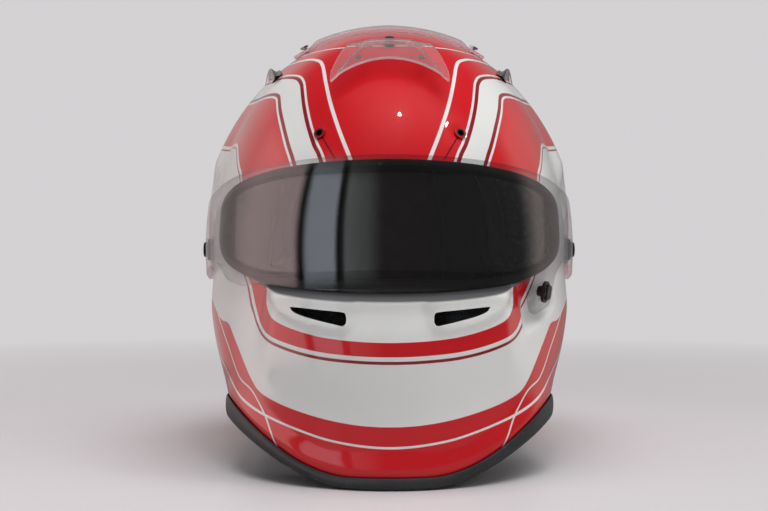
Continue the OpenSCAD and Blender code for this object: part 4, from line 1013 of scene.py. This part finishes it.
# ---------------------------------------------------------------- rubber
class HELMET_OT_rubber(bpy.types.Operator):
    """Make the eyeport's seal and the bottom edge's beading"""
    bl_idname = "helmet.rubber"
    bl_label = "Rubber Edges"

    def execute(self, context):
        edge, w = -SEAL_LIP, -WALL
        profile = rounded([(0, 0.06), (-0.3, SEAL_WALL), (edge - 1.4, SEAL_WALL), (edge - 2.2, 0.2),
                           (edge - 2.2, w - 0.8), (edge - 1.4, w - 1.6), (edge + 2.6, w - 1.4),
                           (edge + 2.6, w - 0.5), (edge - 0.2, w - 0.5), (edge - 0.2, 0.06)], 2)
        loop = port_loop(360)
        rings = np.stack([beside_port(loop, g, k) for g, k in profile], 1)
        o = piece("eyeport_seal", *ring_tube(rings), crease=50)
        # The seal's rubber is darker than the beading's: painted shade of the eyeport
        dress(o, "seal", "black_rubber", "eyeport_gasket")
        th, a = all_round(480)
        p = flared(on_skin(turn(th, level_el(a, edge_height(a)))))
        out = unit((p - CENTRE) * [1, 1, 0])
        # Places across and above the shell's edge, clockwise from the outer lip's top
        w, l, tall, one = WALL + 0.35, TRIM_LIP, edge_trim(a), np.ones_like(a)
        profile = np.array([
            (0.9 * one, 0 * a), (l * one, -1.2 * one), ((l + 0.5) * one, -0.5 * tall),
            ((l - 0.2) * one, 1.3 - tall), ((l - 1.6) * one, -tall), ((1 - w - l) * one, -tall),
            ((-w - l) * one, 1.3 - tall), ((-w - l) * one, -1.2 * one), ((-w - 0.7) * one, 0 * a),
            (-w * one, -0.6 * one), (-w * one, -GROOVE * one), (0.35 * one, -GROOVE * one),
            (0.35 * one, -0.6 * one)])
        profile = rounded(np.moveaxis(profile, 1, -1).reshape(len(profile), -1), 2)
        profile = profile.reshape(-1, len(th), 2).swapaxes(0, 1)
        rings = p[:, None] + profile[..., :1] * out[:, None] + profile[..., 1:] * UP
        o = piece("bottom_beading", *ring_tube(rings), crease=50)
        dress(o, "rubber", "black_rubber", "bottom_edge_trim")
        return {"FINISHED"}


# ---------------------------------------------------------------- visor
def sheet_reach(d, half, radius):
    """Distance from the centre to a surface of revolution about the visor's axis."""
    return ((np.maximum(np.abs(d[..., 0]), 1e-6) / half) ** ROUND
            + (np.hypot(d[..., 1], d[..., 2]) / radius) ** ROUND) ** (-1 / ROUND)


def on_sheet(d, size):
    """Points of a sheet with a half width and a radius, along directions."""
    return CENTRE + sheet_reach(d, *size)[..., None] * d


def visor_top(lam):
    """The visor's upper edge in degrees round its axis, rising by a power of the angle aside."""
    return PORT_TOP + 0.1 + 8.7 * (lam / 54) ** 2.3


def visor_low(lam, left):
    """The visor's lower edge, with the lock's tab on the wearer's left."""
    low = PORT_LOW - 0.4 - 2.3 * smooth((lam - 31) / 8) + 5.3 * smooth((lam - 45) / 9)
    return low - (9 * smooth((lam - 34) / 3) * (1 - smooth((lam - 44.5) / 4)) if left else 0)


def visor_half(left):
    """Rows of directions from the arm's round end to the middle.

    The arm's rows lie in the side's plane, at a distance along the arm; the rest lie in planes through
    the visor's axis.
    """
    end = -ARM_HALF * np.sin(np.radians([83, 76, 68, 60, 51, 42, 33, 24, 15, 7]))
    q = np.concatenate([end, np.linspace(0, 68, 26)])[:, None]
    wide = np.sqrt(np.maximum(0, ARM_HALF**2 - q * q))
    top = np.where(q > 0, ARM_HALF + 6 * smooth(q / 60), wide)
    low = np.where(q > 0, -ARM_HALF, -wide)
    w = low + (top - low) * ACROSS
    r, phi = np.hypot(q, w), np.radians(np.degrees(np.arctan2(w, q)) + ARM_TILT)
    x = VISOR_OUTER[0] * (1 - (r / VISOR_OUTER[1]) ** ROUND) ** (1 / ROUND)
    arm = unit(np.stack([x, -r * np.cos(phi), r * np.sin(phi)], -1))
    lam = np.concatenate([np.arange(54.5, 30, -0.5), np.arange(30, 0, -1.0)])[:, None]
    low = visor_low(lam, left)
    return np.concatenate([arm, aim(lam, low + (visor_top(lam) - low) * ACROSS)])


def lock_frame():
    """The lock's place on the visor's outer face and its directions."""
    def at(aside, up):
        return on_sheet(aim(LOCK_SPOT[0] + aside, LOCK_SPOT[1] + up), VISOR_OUTER)
    u, v = at(0.5, 0) - at(-0.5, 0), at(0, 0.5) - at(0, -0.5)
    n = unit(np.cross(u, v))
    return at(0, 0), unit(u), np.cross(n, unit(u)), n


class HELMET_OT_visor(bpy.types.Operator):
    """Make the visor and its inner pane"""
    bl_idname = "helmet.visor"
    bl_label = "Visor"

    def execute(self, context):
        low = visor_low(np.zeros(1), False)
        middle = aim(0.0, low + (visor_top(0.0) - low) * ACROSS)[None]
        rows = np.concatenate([visor_half(True), middle, (visor_half(False) * MIRROR)[::-1]])
        plate = plate_parts(on_sheet(rows, VISOR_OUTER), on_sheet(rows, VISOR_INNER))
        o = piece("visor_shield", *plate, crease=50)
        p, u, v, n = lock_frame()
        ring = p + ring_of(u, v, LOCK_HOLE, 64)
        parts = [pivot_parts(VISOR_HOLE, sides=64, near=108, far=130, side=side) for side in (-1, 1)]
        cut(o, [*parts, tube_parts(np.stack([ring - 8 * n, ring + 8 * n]))], crease=50)
        soften(o, VISOR_ROUNDING)
        dress(o, "visor", "visor_clear", "visor", body="visor")
        # The pane stops a little inside the eyeport's edges, with round corners
        s = np.linspace(-PANE_HALF, PANE_HALF, 121)[:, None]
        level = (1 - np.cos(np.pi * np.linspace(0, 1, 21))) / 2
        corner = 3 * (np.abs(s) / PANE_HALF) ** 6
        low, top = port_low(s) + 4.2 + corner, port_top(s) - 3.6 - corner
        rows = aim(s, low + (top - low) * level)
        outer, inner = (tuple(r - gap for r in VISOR_INNER) for gap in (PANE_GAP, PANE_GAP + PANE_WALL))
        o = piece("fog_pane", *plate_parts(on_sheet(rows, outer), on_sheet(rows, inner)), crease=50)
        dress(o, "pane", "visor_clear", "visor_inner_pane", body="visor")
        return {"FINISHED"}


# ---------------------------------------------------------------- clear air pieces
def deflector_off(phi):
    """Height of the front deflector above the shell: level over the brow, landing behind the raised visor."""
    return 7.6 - 6.7 * smooth((phi - RAISED_EDGE - 0.6) / 3.6) + 1.2 * smooth((48 - phi) / 8)


def spoiler_off(s, v):
    """Height of the rear spoiler: flanged sides, a raised middle and a kicked-up tail."""
    return (0.7 + (7 - 1.6 * np.abs(s)) * smooth((0.93 - np.abs(s)) / 0.22) * smooth((v - 0.02) / 0.2)
            + 7 * smooth((v - 0.62) / 0.38) * smooth((0.9 - np.abs(s)) / 0.4))


def clear_sheet(lam, phi, off):
    """A clear plate of even thickness over the shell at a height off it."""
    d = aim(lam, phi)
    top, under = (CENTRE + (skin(d) + off + wall)[..., None] * d for wall in (CLEAR_WALL, 0.0))
    return plate_parts(top, under)


class HELMET_OT_air(bpy.types.Operator):
    """Make the clear deflector, spoiler and strakes, and the vents' meshes"""
    bl_idname = "helmet.air"
    bl_label = "Air Pieces"

    def execute(self, context):
        # The deflector narrows upward between two folds, outside which it steps down
        s, v = np.linspace(-1, 1, 97)[:, None], np.linspace(0, 1, 57)[None]
        low, top = 46.3 - 5.8 * s * s, 62 - 9.5 * np.abs(s) - 9 * np.abs(s) ** 6
        phi = low + (top - low) * v
        fold = np.interp(phi, [40, 43, 56.5, 62], [12.2, 11, 4, 0.5]) / DEFLECTOR_HALF
        off = deflector_off(phi) + 0.9 * smooth((fold - np.abs(s)) / 0.07 + 0.5) - 0.45
        front = clear_sheet(DEFLECTOR_HALF * s, phi, np.maximum(off, 0.75))
        s, v = np.linspace(-1, 1, 145)[:, None], np.linspace(0, 1, 91)[None]
        rear = clear_sheet(SPOILER_HALF * s, SPOILER_START + SPOILER_RUN * v, spoiler_off(s, v))
        foot = [cylinder_parts(FOOT_SPOT, SCREW_HOLE, low=-2, high=14)]
        screws = [cylinder_parts(spot, SCREW_HOLE, low=-2, high=20, mirror=m)
                  for spot in SPOILER_SPOTS for m in (False, True)]
        for name, sheet, holes, finish, node in (
                ("front_clear_deflector", front, foot, "clear_plate", "front_deflector"),
                ("rear_clear_spoiler", rear, screws, "clear_rear", "rear_spoiler")):
            o = piece(name, *sheet, crease=50)
            cut(o, holes, crease=50)
            soften(o, PLATE_ROUNDING)
            dress(o, finish, "clear_plastic", node)
        # The strakes' section: places across and above the shell, mirrored about its own middle
        t = np.linspace(0, 1, 73)
        path = [[start + run * k for start, run in zip(STRAKE_START, STRAKE_RUN)] for k in (t, t + 0.01)]
        at, ahead = (on_skin(aim(*spots)) for spots in path)
        n = skin_frame(*path[0])[3]
        side = np.cross(n, unit(ahead - at))
        tall = 0.8 + 5.5 * np.sin(np.radians(180 * (0.08 + 0.86 * t))) ** 0.7
        half = [(0.8, tall), (1.3, 1.5), (4, 1.1), (4, 0.3)]
        half = [(-x, z) for x, z in half[::-1]] + half
        rings = np.stack([at + x * side + (z + 0 * t)[:, None] * n for x, z in half])
        rings = rounded(rings.reshape(len(half), -1), 2).reshape(-1, len(t), 3).swapaxes(0, 1)
        for sign, name in SIDES:
            o = piece("clear_strake_" + name, *tube_parts(rings * [sign, 1, 1]), crease=50)
            dress(o, "clear", "clear_plastic", "side_strake_" + name)
        for where, across, along, off in VENT_MESHES:
            d = aim(np.linspace(*across, 33)[:, None], np.linspace(*along, 11)[None])
            for sign, name in SIDES:
                sheet = (CENTRE + (skin(d) + off - MESH_WALL)[..., None] * d) * [sign, 1, 1]
                faces = [grid_quads(*sheet.shape[:2])]
                o = piece(f"{where}_vent_grille_{name}", sheet.reshape(-1, 3), faces, crease=60)
                modify(o, "WIREFRAME", thickness=0.0006, use_even_offset=True, use_boundary=True)
                apply_all(o, crease=40)
                dress(o, "nylon", "black_mesh", f"{where}_vent_mesh_{name}")
        return {"FINISHED"}


# ---------------------------------------------------------------- lining
def foam_bottom(th):
    """Height of the crown foam's lower edge by the angle round from the front."""
    return CENTRE[2] + 60 - 75 * smooth((th - 58) / 14) - 56 * smooth((th - 124) / 18)


def cavity(d, grow):
    """Distance to the head's room: half an ellipsoid ahead and a deeper half behind."""
    b = np.where(d[..., 1] < 0, HEAD_FRONT, HEAD_BACK) + grow
    return 1 / np.sqrt((d[..., 0] / (HEAD_SIDE + grow)) ** 2 + (d[..., 1] / b) ** 2
                       + (d[..., 2] / (HEAD_TALL + grow)) ** 2)


def cavity_rings(rows, columns, grow, lift):
    """Rings of directions over the head's room, from its lower edge to the crown."""
    th, a = all_round(columns)
    z = foam_bottom(a) + lift

    def above(mid):
        d = turn(th, mid)
        return CENTRE[2] + cavity(d, grow) * d[..., 2] > z
    low = halve(above, -75, 88, th.shape)
    return turn(th, low + (90 - low) * rows[:, None])


def wall_pad(th_from, th_to, low, high, off, thick, shape):
    """Points and faces of a pad against the shell's inside, between two angles round.

    It stands from low millimetres over the shell's edge up to a height. Its inner face swells in a
    crown, the product of two half waves each to a small power, and draws in towards its sides by a
    share of what the crown lacks. Two sewn channels are Gaussians across its height.
    """
    n, m = shape
    s, v = np.linspace(0, 1, n)[:, None], np.linspace(0, 1, m)[None]
    half_wave, half_wave_up = np.sin(np.pi * s), np.sin(np.pi * (0.03 + 0.94 * v))
    crown = np.maximum(0, half_wave) ** 0.42 * np.maximum(0, half_wave_up) ** 0.4
    channel = 0.08 * sum(np.exp(-(((v - at) / 0.018) ** 2)) for at in (0.36, 0.7))
    inset = thick * (0.3 + 0.7 * crown * (1 - channel))
    across = (0.5 - 0.5 * np.cos(np.pi * s)) * np.ones_like(v)
    th = th_from + (th_to - th_from) * across
    lo = edge_height(np.abs(th)) + low
    z = lo + (high - lo) * v
    pull = 0.06 * (1 - crown)
    drawn_across, drawn_up = (t * (1 - 2 * pull) + pull for t in (across, v))
    face = level_point(th_from + (th_to - th_from) * drawn_across, lo + (high - lo) * drawn_up, off - 1.0)
    face = face + (level_point(th, z, off - inset) - level_point(th, z, off - 1.0))
    return plate_parts(level_point(th, z, off), face)


class HELMET_OT_lining(bpy.types.Operator):
    """Make the energy foams, the crown lining, the cheek pads and the neck roll"""
    bl_idname = "helmet.lining"
    bl_label = "Lining"

    def execute(self, context):
        th, a = all_round(LINING_COLUMNS)
        rows, off = np.linspace(0, 1, 37)[:-1], -WALL - 4.7
        low = level_el(a, foam_bottom(a), off)
        outer = on_skin(turn(th, low + (90 - low) * rows[:, None]), off)
        d = cavity_rings(rows, LINING_COLUMNS, 0.0, 0.0)
        inner = CENTRE + cavity(d, 0.0)[..., None] * d
        bowl = bowl_parts(outer, on_skin(UP, off), inner, CENTRE + HEAD_TALL * UP)
        o = piece("crown_energy_foam", *bowl, crease=40)
        anchors = [cylinder_parts(ANCHOR, radius=6.2, low=-18, high=0, mirror=m) for m in (False, True)]
        cut(o, anchors, crease=40)
        dress(o, "foam", "energy_foam", "crown_foam")
        pad = wall_pad(-56, 56, low=6, high=86, off=-7.3, thick=22, shape=(97, 33))
        o = piece("chin_energy_foam", *pad, crease=40)
        dress(o, "foam", "energy_foam", "chin_foam")
        # The crown lining thins to its rim and along its quilting: ribs round it and one level seam
        d = cavity_rings(rows, LINING_COLUMNS, -LINER_GAP, 4.0)
        ring_el = np.degrees(np.arcsin(d[..., 2]))
        ring_th = np.degrees(np.arctan2(d[..., 0], -d[..., 1]))
        quilt = (np.exp(-(((np.abs(ring_th) % 45 - 22.5) / 1.6) ** 2)) * smooth((80 - ring_el) / 12)
                 + np.exp(-(((ring_el - 48) / 1.3) ** 2)))
        full = LINER_MORE - LINER_SEAM * np.minimum(1, quilt)
        thick = LINER_EDGE + full * smooth(rows / 0.05)[:, None]
        back, top = cavity(d, -LINER_GAP), HEAD_TALL - LINER_GAP
        back, face = (CENTRE + far[..., None] * d for far in (back, back - thick))
        bowl = bowl_parts(back, CENTRE + top * UP, face, CENTRE + (top - LINER_EDGE - LINER_MORE) * UP)
        o = dress(piece("crown_lining", *bowl, crease=60), "cloth", "lining_cloth", "crown_liner")
        pts, faces = wall_pad(61, 108, low=5, high=112, off=-10.3, thick=31.0, shape=(61, 49))
        for sign, name in SIDES:
            o = piece("cheek_cushion_" + name, pts * [sign, 1, 1], faces, crease=75)
            modify(o, "SUBSURF", levels=1, render_levels=1)
            dress(o, "cloth", "lining_cloth", "cheek_pad_" + name)
        pad = wall_pad(140, 220, low=5, high=52, off=-7.3, thick=19.5, shape=(81, 31))
        o = piece("neck_cushion", *pad, crease=75)
        modify(o, "SUBSURF", levels=1, render_levels=1)
        dress(o, "cloth", "lining_cloth", "neck_roll")
        return {"FINISHED"}


# ---------------------------------------------------------------- straps and hardware
def strap_path(run):
    """The strap's way across and up, from its rivet inside the wall to its free end."""
    def wall_x(z, off):
        return float(level_point(np.array(103.0), np.array(float(z)), off)[0])
    out, low_out = -WALL - 1.9 - 0.8, -WALL - 2 * TRIM_LIP - 0.8
    x = wall_x(44, low_out)
    return np.array([(wall_x(74, out), 74), (wall_x(66, out), 66), (wall_x(59, out), 59),
                     (wall_x(50, low_out - 0.6), 50), (x, 44), (x - 1.5, 37), (x - 6, 31), (x - 14, 27.5),
                     (x - 24, 26), (x - run, 26)])


def band_parts(path, middle, width=22.0, wall=1.6, sides=24):
    """A flat band with rounded edges along a path, and its lay: run along it and place across it."""
    c = eased(path, 6)
    w = unit(np.gradient(c, axis=0))
    up = np.stack([-w[:, 1], w[:, 0]], -1)
    a = np.radians(np.arange(sides) * 360 / sides)
    across = np.sign(np.cos(a)) * np.abs(np.cos(a)) ** 0.25 * width / 2
    over = np.sign(np.sin(a)) * np.abs(np.sin(a)) ** 0.8 * wall / 2
    flat = c[:, None] + over[None, :, None] * up[:, None]
    rings = np.stack([flat[..., 0], np.broadcast_to(middle + across, flat.shape[:2]), flat[..., 1]], -1)
    run = np.concatenate([[0], np.cumsum(np.linalg.norm(np.diff(c, axis=0), axis=1))])
    lay = np.stack(np.broadcast_arrays(run[:, None], across), -1)
    lay = np.concatenate([lay.reshape(-1, 2), [[run[0], 0], [run[-1], 0]]])
    return (*tube_parts(rings), lay)


def loop_parts(end, middle):
    """The stitched loop that holds the D rings at the left half's end, and its lay."""
    c = np.array([end[0] - 3.9, middle, end[1]])
    a = np.radians(np.arange(72) * 5)[:, None]

    def oval(r, y):
        return c + np.concatenate([np.cos(a) * r + 2.4 * np.sign(np.cos(a)), 0 * a + y, np.sin(a) * r], 1)
    ends = [(3.25, -11), (3.5, -10.6), (3.5, 10.6), (3.25, 11)]
    rings = np.stack([oval(r, y) for r, y in ends] + [oval(1.9, y) for _, y in ends[::-1]])
    pts, faces = ring_tube(rings)
    return pts, faces, np.stack([pts[:, 0] + pts[:, 2], pts[:, 1] - middle], -1)


class HELMET_OT_straps(bpy.types.Operator):
    """Make the chin strap's two halves of webbing"""
    bl_idname = "helmet.straps"
    bl_label = "Chin Strap"

    def execute(self, context):
        middle = on_skin(aim(*RIVET))[1]
        for (sign, name), run in zip(SIDES, (50, 80)):
            path = strap_path(run)
            pts, faces, lay = band_parts(path, middle)
            if sign > 0:
                loop_pts, loop_faces, loop_lay = loop_parts(path[-1], middle)
                lay = np.concatenate([lay, loop_lay])
                pts, faces = joined([(pts, faces), (loop_pts, loop_faces)])
            o = piece("webbing_" + name, pts * [sign, 1, 1], faces, crease=50)
            lay_uv(o, lay)
            dress(o, "webbing", "webbing", "chin_strap_" + name)
        return {"FINISHED"}


class HELMET_OT_hardware(bpy.types.Operator):
    """Give the screws, bushes, ports, rings and anchors their finishes"""
    bl_idname = "helmet.hardware"
    bl_label = "Hardware"

    FINISHES = {
        "anodised": ("pivot_screw",),
        "nylon": ("pivot_bush", "lock_bezel", "lock_button", "strap_snap"),
        "rubber": ("deflector_foot",),
        "port": ("forehead_port",),
        "grey_rubber": ("deflector_bumpers",),
        "steel": ("pivot_washer", "pivot_insert", "lock_spring", "deflector_screw", "spoiler_screws",
                  "restraint_anchor", "strap_d_rings", "strap_rivet"),
    }

    def execute(self, context):
        for finish, starts in self.FINISHES.items():
            for name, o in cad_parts.items():
                if name.startswith(starts):
                    o.data.materials.clear()
                    o.data.materials.append(material(finish))
        return {"FINISHED"}


# ---------------------------------------------------------------- stage
# The room that shows in the visor and the lacquer: degrees round from the front, and shade
ROOM = [(-180, (0.3, 0.28, 0.28)), (-162, (0.5, 0.45, 0.44)), (-125, (0.7, 0.58, 0.57)),
        (-102, (2.0, 1.52, 1.5)), (-66, (1.9, 1.45, 1.43)), (-63, (0.06, 0.06, 0.06)),
        (-59, (0.06, 0.06, 0.06)), (-57, (1.3, 1.4, 1.55)), (-36, (1.4, 1.5, 1.65)),
        (-34, (0.05, 0.05, 0.05)), (-30, (0.08, 0.08, 0.08)), (-28, (0.62, 0.66, 0.65)),
        (-14, (0.4, 0.42, 0.41)), (-4, (0.13, 0.11, 0.11)), (60, (0.1, 0.1, 0.105)),
        (99, (0.13, 0.13, 0.13)), (113, (0.85, 0.74, 0.69)), (125, (0.6, 0.52, 0.5)),
        (150, (0.26, 0.25, 0.25)), (180, (0.3, 0.28, 0.28))]
# What the room turns into overhead and below: heights of the direction where it starts and ends, and shade
ROOM_ENDS = ((0.5, 0.72, (0.07, 0.07, 0.075)), (-0.2, -0.31, (0.12, 0.11, 0.115)))
# Each lamp: name, place, target, sizes, share of the key's power, and whether mirrors show it
LAMPS = (
    ("overhead", (0.15, -0.35, 1.7), (0, 0, 0.15), (1.3, 1.3), 1.0, False),
    ("front_fill", (-1.3, -1.7, 0.9), (0, 0, 0.12), (0.9, 1.3), 0.04, False),
    ("side_fill", (1.5, -0.6, 0.8), (0, 0, 0.15), (0.7, 1.1), 0.15, False),
    ("spark_near", (0.18, -0.81, 2.09), (0, -0.1, 0.2), (0.065, 0.065), 0.06, True),
    ("spark_side", (1.9, -0.84, 2.8), (0, -0.1, 0.2), (0.11, 0.11), 0.11, True),
)
CAMERA_PLACE, CAMERA_LENS, CAMERA_WIDTH = (-0.0034, -0.847, 0.129), 58.594, 36
# The floor's near end, the start and radius of its bend, its wall's top and its half width, in metres
FLOOR_NEAR, FLOOR_FAR, BEND, WALL_TOP, FLOOR_HALF = -4, 2.2, 1.2, 5.0, 5


def stage_material(name, colour, rough, seen):
    """A plain pale floor which, far behind the piece, turns into an even shade for the camera.

    In mirrors it is dimmer, as the table's front edge is in the photo, and its far part is left out,
    so that they show the room.
    """
    n = new_nodes(name)
    lit = n.principled(Base_Color=n.mix(n.ramp(n.noise(n.coords(), 6.0, 3.0), 0.3, 0.7), colour,
                                        scaled(colour, 0.98)), Roughness=rough, Specular_IOR_Level=0.4)
    x, y, _ = n.add("SeparateXYZ", {0: n.coords()}).outputs
    far = n.math("SQRT", n.math("ADD", n.math("POWER", x, 2.0), n.math("POWER", y, 2.0)))
    mirrors = n.ray("Is Glossy Ray")
    for share, shader in (
            (n.times(mirrors, 0.55), n.shader("Emission", Color=(0.02, 0.02, 0.02))),
            (n.times(n.ramp(far, 0.35, 1.15), n.ray("Is Camera Ray")), n.shader("Emission", Color=seen)),
            (n.times(n.ramp(far, 0.42, 0.52), mirrors), n.shader("BsdfTransparent"))):
        lit = n.blend(share, lit, shader)
    return n.finish(lit)


def studio_world(look):
    """Even light all round; a room for mirrors, and a backdrop for the camera and what is clear.

    The room's shade goes by the degrees round from the front, and fades overhead and below.
    """
    n = Nodes(bpy.data.worlds.new("studio"), "OutputWorld")
    plain = n.shader("Background", Color=(1.0, 0.985, 0.98), Strength=look.fill)
    seen = n.shader("Background", Color=tuple(look.backdrop_colour))
    x, y, z = n.add("SeparateXYZ", {0: n.add("TexCoord").outputs["Generated"]}).outputs
    turned = n.math("DIVIDE", n.math("ARCTAN2", x, n.times(y, -1.0)), 2 * math.pi)
    walls = n.add("ValToRGB", {0: n.math("ADD", turned, 0.5)})
    stops = walls.color_ramp.elements
    for k, (degrees, _) in enumerate(ROOM):
        stop = stops[k] if k < 2 else stops.new(degrees / 360 + 0.5)
        stop.position = degrees / 360 + 0.5
    for stop, (_, shade) in zip(stops, ROOM):
        stop.color = (*shade, 1)
    last = walls.outputs[0]
    for low, high, shade in ROOM_ENDS:
        last = n.mix(n.ramp(z, low, high), last, shade)
    through = n.math("MAXIMUM", n.ray("Is Camera Ray"), n.ray("Is Transmission Ray"))
    for bounces in ("Diffuse Depth", "Glossy Depth"):
        through = n.times(through, n.math("LESS_THAN", n.ray(bounces), 0.5))
    mirrors = n.blend(n.ray("Is Glossy Ray"), plain, n.shader("Background", Color=last))
    return n.finish(n.blend(through, mirrors, seen))


def link_new(name, data):
    """A new object in the scene."""
    o = bpy.data.objects.new(name, data)
    bpy.context.scene.collection.objects.link(o)
    return o


def lamp(name, place, target, size, power, mirrored):
    """A soft lamp facing a point, which mirrors don't show unless it is mirrored."""
    data = bpy.data.lights.new(name, "AREA")
    data.shape, data.size, data.size_y = "RECTANGLE", *size
    data.energy = power
    o = link_new(name, data)
    o.location = place
    away = np.array(place) - np.array(target)
    o.rotation_euler = (math.atan2(math.hypot(away[0], away[1]), away[2]), 0, math.atan2(away[0], -away[1]))
    o.visible_glossy = o.visible_transmission = mirrored


class HELMET_OT_stage(bpy.types.Operator):
    """Make the floor, the studio light and the camera"""
    bl_idname = "helmet.stage"
    bl_label = "Stage"

    def execute(self, context):
        scene, look = context.scene, context.scene.helmet_studio
        arc = np.radians(np.arange(5, 91, 5))
        y = np.concatenate([np.linspace(FLOOR_NEAR, FLOOR_FAR, 12), FLOOR_FAR + BEND * np.sin(arc),
                            [FLOOR_FAR + BEND] * 2])[:, None]
        z = np.concatenate([np.zeros(12), BEND - BEND * np.cos(arc), [2 * BEND, WALL_TOP]])[:, None]
        grid = np.stack(np.broadcast_arrays(np.linspace(-FLOOR_HALF, FLOOR_HALF, 5), y, z - 0.0002), -1)
        me = bpy.data.meshes.new("studio_sweep")
        me.from_pydata(grid.reshape(-1, 3).tolist(), [], grid_quads(*grid.shape[:2])[:, ::-1].tolist())
        me.shade_smooth()
        floor = link_new("studio_sweep", me)
        floor.data.materials.append(
            stage_material("pale_sweep", tuple(look.floor_colour), 0.34, tuple(look.backdrop_colour)))
        scene.world = studio_world(look)
        for name, place, target, size, share, mirrored in LAMPS:
            lamp(name, place, target, size, look.key * share, mirrored)
        cam = bpy.data.cameras.new("camera")
        cam.lens, cam.sensor_width, cam.sensor_fit = CAMERA_LENS, CAMERA_WIDTH, "HORIZONTAL"
        cam.clip_start, cam.clip_end = 0.01, 100
        scene.camera = link_new("camera", cam)
        scene.camera.location = CAMERA_PLACE
        scene.camera.rotation_euler = (math.pi / 2, 0, 0)
        scene.view_settings.view_transform = "Standard"
        return {"FINISHED"}


# ---------------------------------------------------------------- the add-on
def colour(name, description, default):
    """A colour property."""
    return bpy.props.FloatVectorProperty(name=name, description=description, default=default, subtype="COLOR",
                                         size=3, min=0.0, max=1.0)


class HelmetLook(bpy.types.PropertyGroup):
    """Colours and line sizes of the livery and the trim."""
    red: colour("Red", "Main colour of the livery", (0.62, 0.006, 0.012))
    white: colour("White", "Second colour of the livery", (0.78, 0.79, 0.77))
    dark_line: colour("Dark line", "Fine lines beside the pale bands", (0.27, 0.004, 0.012))
    visor_tint: colour("Visor tint", "Light smoke of the visor", (0.82, 0.82, 0.83))
    clear_tint: colour("Clear tint", "Tint of the clear air pieces", (0.97, 0.95, 0.95))
    cloth: colour("Lining", "Cloth of the lining", (0.042, 0.042, 0.046))
    line_width: bpy.props.FloatProperty(name="Line width", description="Width of the fine lines",
                                        default=0.0011, min=0.0005, max=0.003, unit="LENGTH", precision=4)


class HelmetStudio(bpy.types.PropertyGroup):
    """Floor and light of the studio."""
    floor_colour: colour("Floor", "Colour of the floor", (0.69, 0.665, 0.685))
    backdrop_colour: colour("Backdrop", "Even shade seen behind the helmet", (0.66, 0.64, 0.655))
    key: bpy.props.FloatProperty(name="Key", description="Power of the overhead lamp in watts",
                                 default=26.5, min=0.0, max=200.0)
    fill: bpy.props.FloatProperty(name="Fill", description="Strength of the light from all round",
                                  default=0.26, min=0.0, max=2.0)


class HELMET_PT_build(bpy.types.Panel):
    """Sizes, colours and steps of the helmet"""
    bl_idname = "HELMET_PT_build"
    bl_label = "Racing Helmet"
    bl_space_type = "VIEW_3D"
    bl_region_type = "UI"
    bl_category = "Helmet"

    def draw(self, context):
        for group in (context.scene.helmet_look, context.scene.helmet_studio):
            box = self.layout.box()
            for name in group.__annotations__:
                box.prop(group, name)
        for step in STEPS:
            self.layout.operator(step.bl_idname)


STEPS = (HELMET_OT_shell, HELMET_OT_rubber, HELMET_OT_visor, HELMET_OT_air, HELMET_OT_lining,
         HELMET_OT_straps, HELMET_OT_hardware, HELMET_OT_stage)
CLASSES = (HelmetLook, HelmetStudio, *STEPS, HELMET_PT_build)


def register():
    """Registers the classes and their place on the scene."""
    for c in CLASSES:
        bpy.utils.register_class(c)
    bpy.types.Scene.helmet_look = bpy.props.PointerProperty(type=HelmetLook)
    bpy.types.Scene.helmet_studio = bpy.props.PointerProperty(type=HelmetStudio)


def unregister():
    """Takes away what register added."""
    del bpy.types.Scene.helmet_look, bpy.types.Scene.helmet_studio
    for c in reversed(CLASSES):
        bpy.utils.unregister_class(c)


def main():
    """Runs the steps in order."""
    register()
    for step in (bpy.ops.helmet.shell, bpy.ops.helmet.rubber, bpy.ops.helmet.visor, bpy.ops.helmet.air,
                 bpy.ops.helmet.lining, bpy.ops.helmet.straps, bpy.ops.helmet.hardware, bpy.ops.helmet.stage):
        if step() != {"FINISHED"}:
            raise RuntimeError("a step did not finish")


if __name__ == "__main__":
    main()
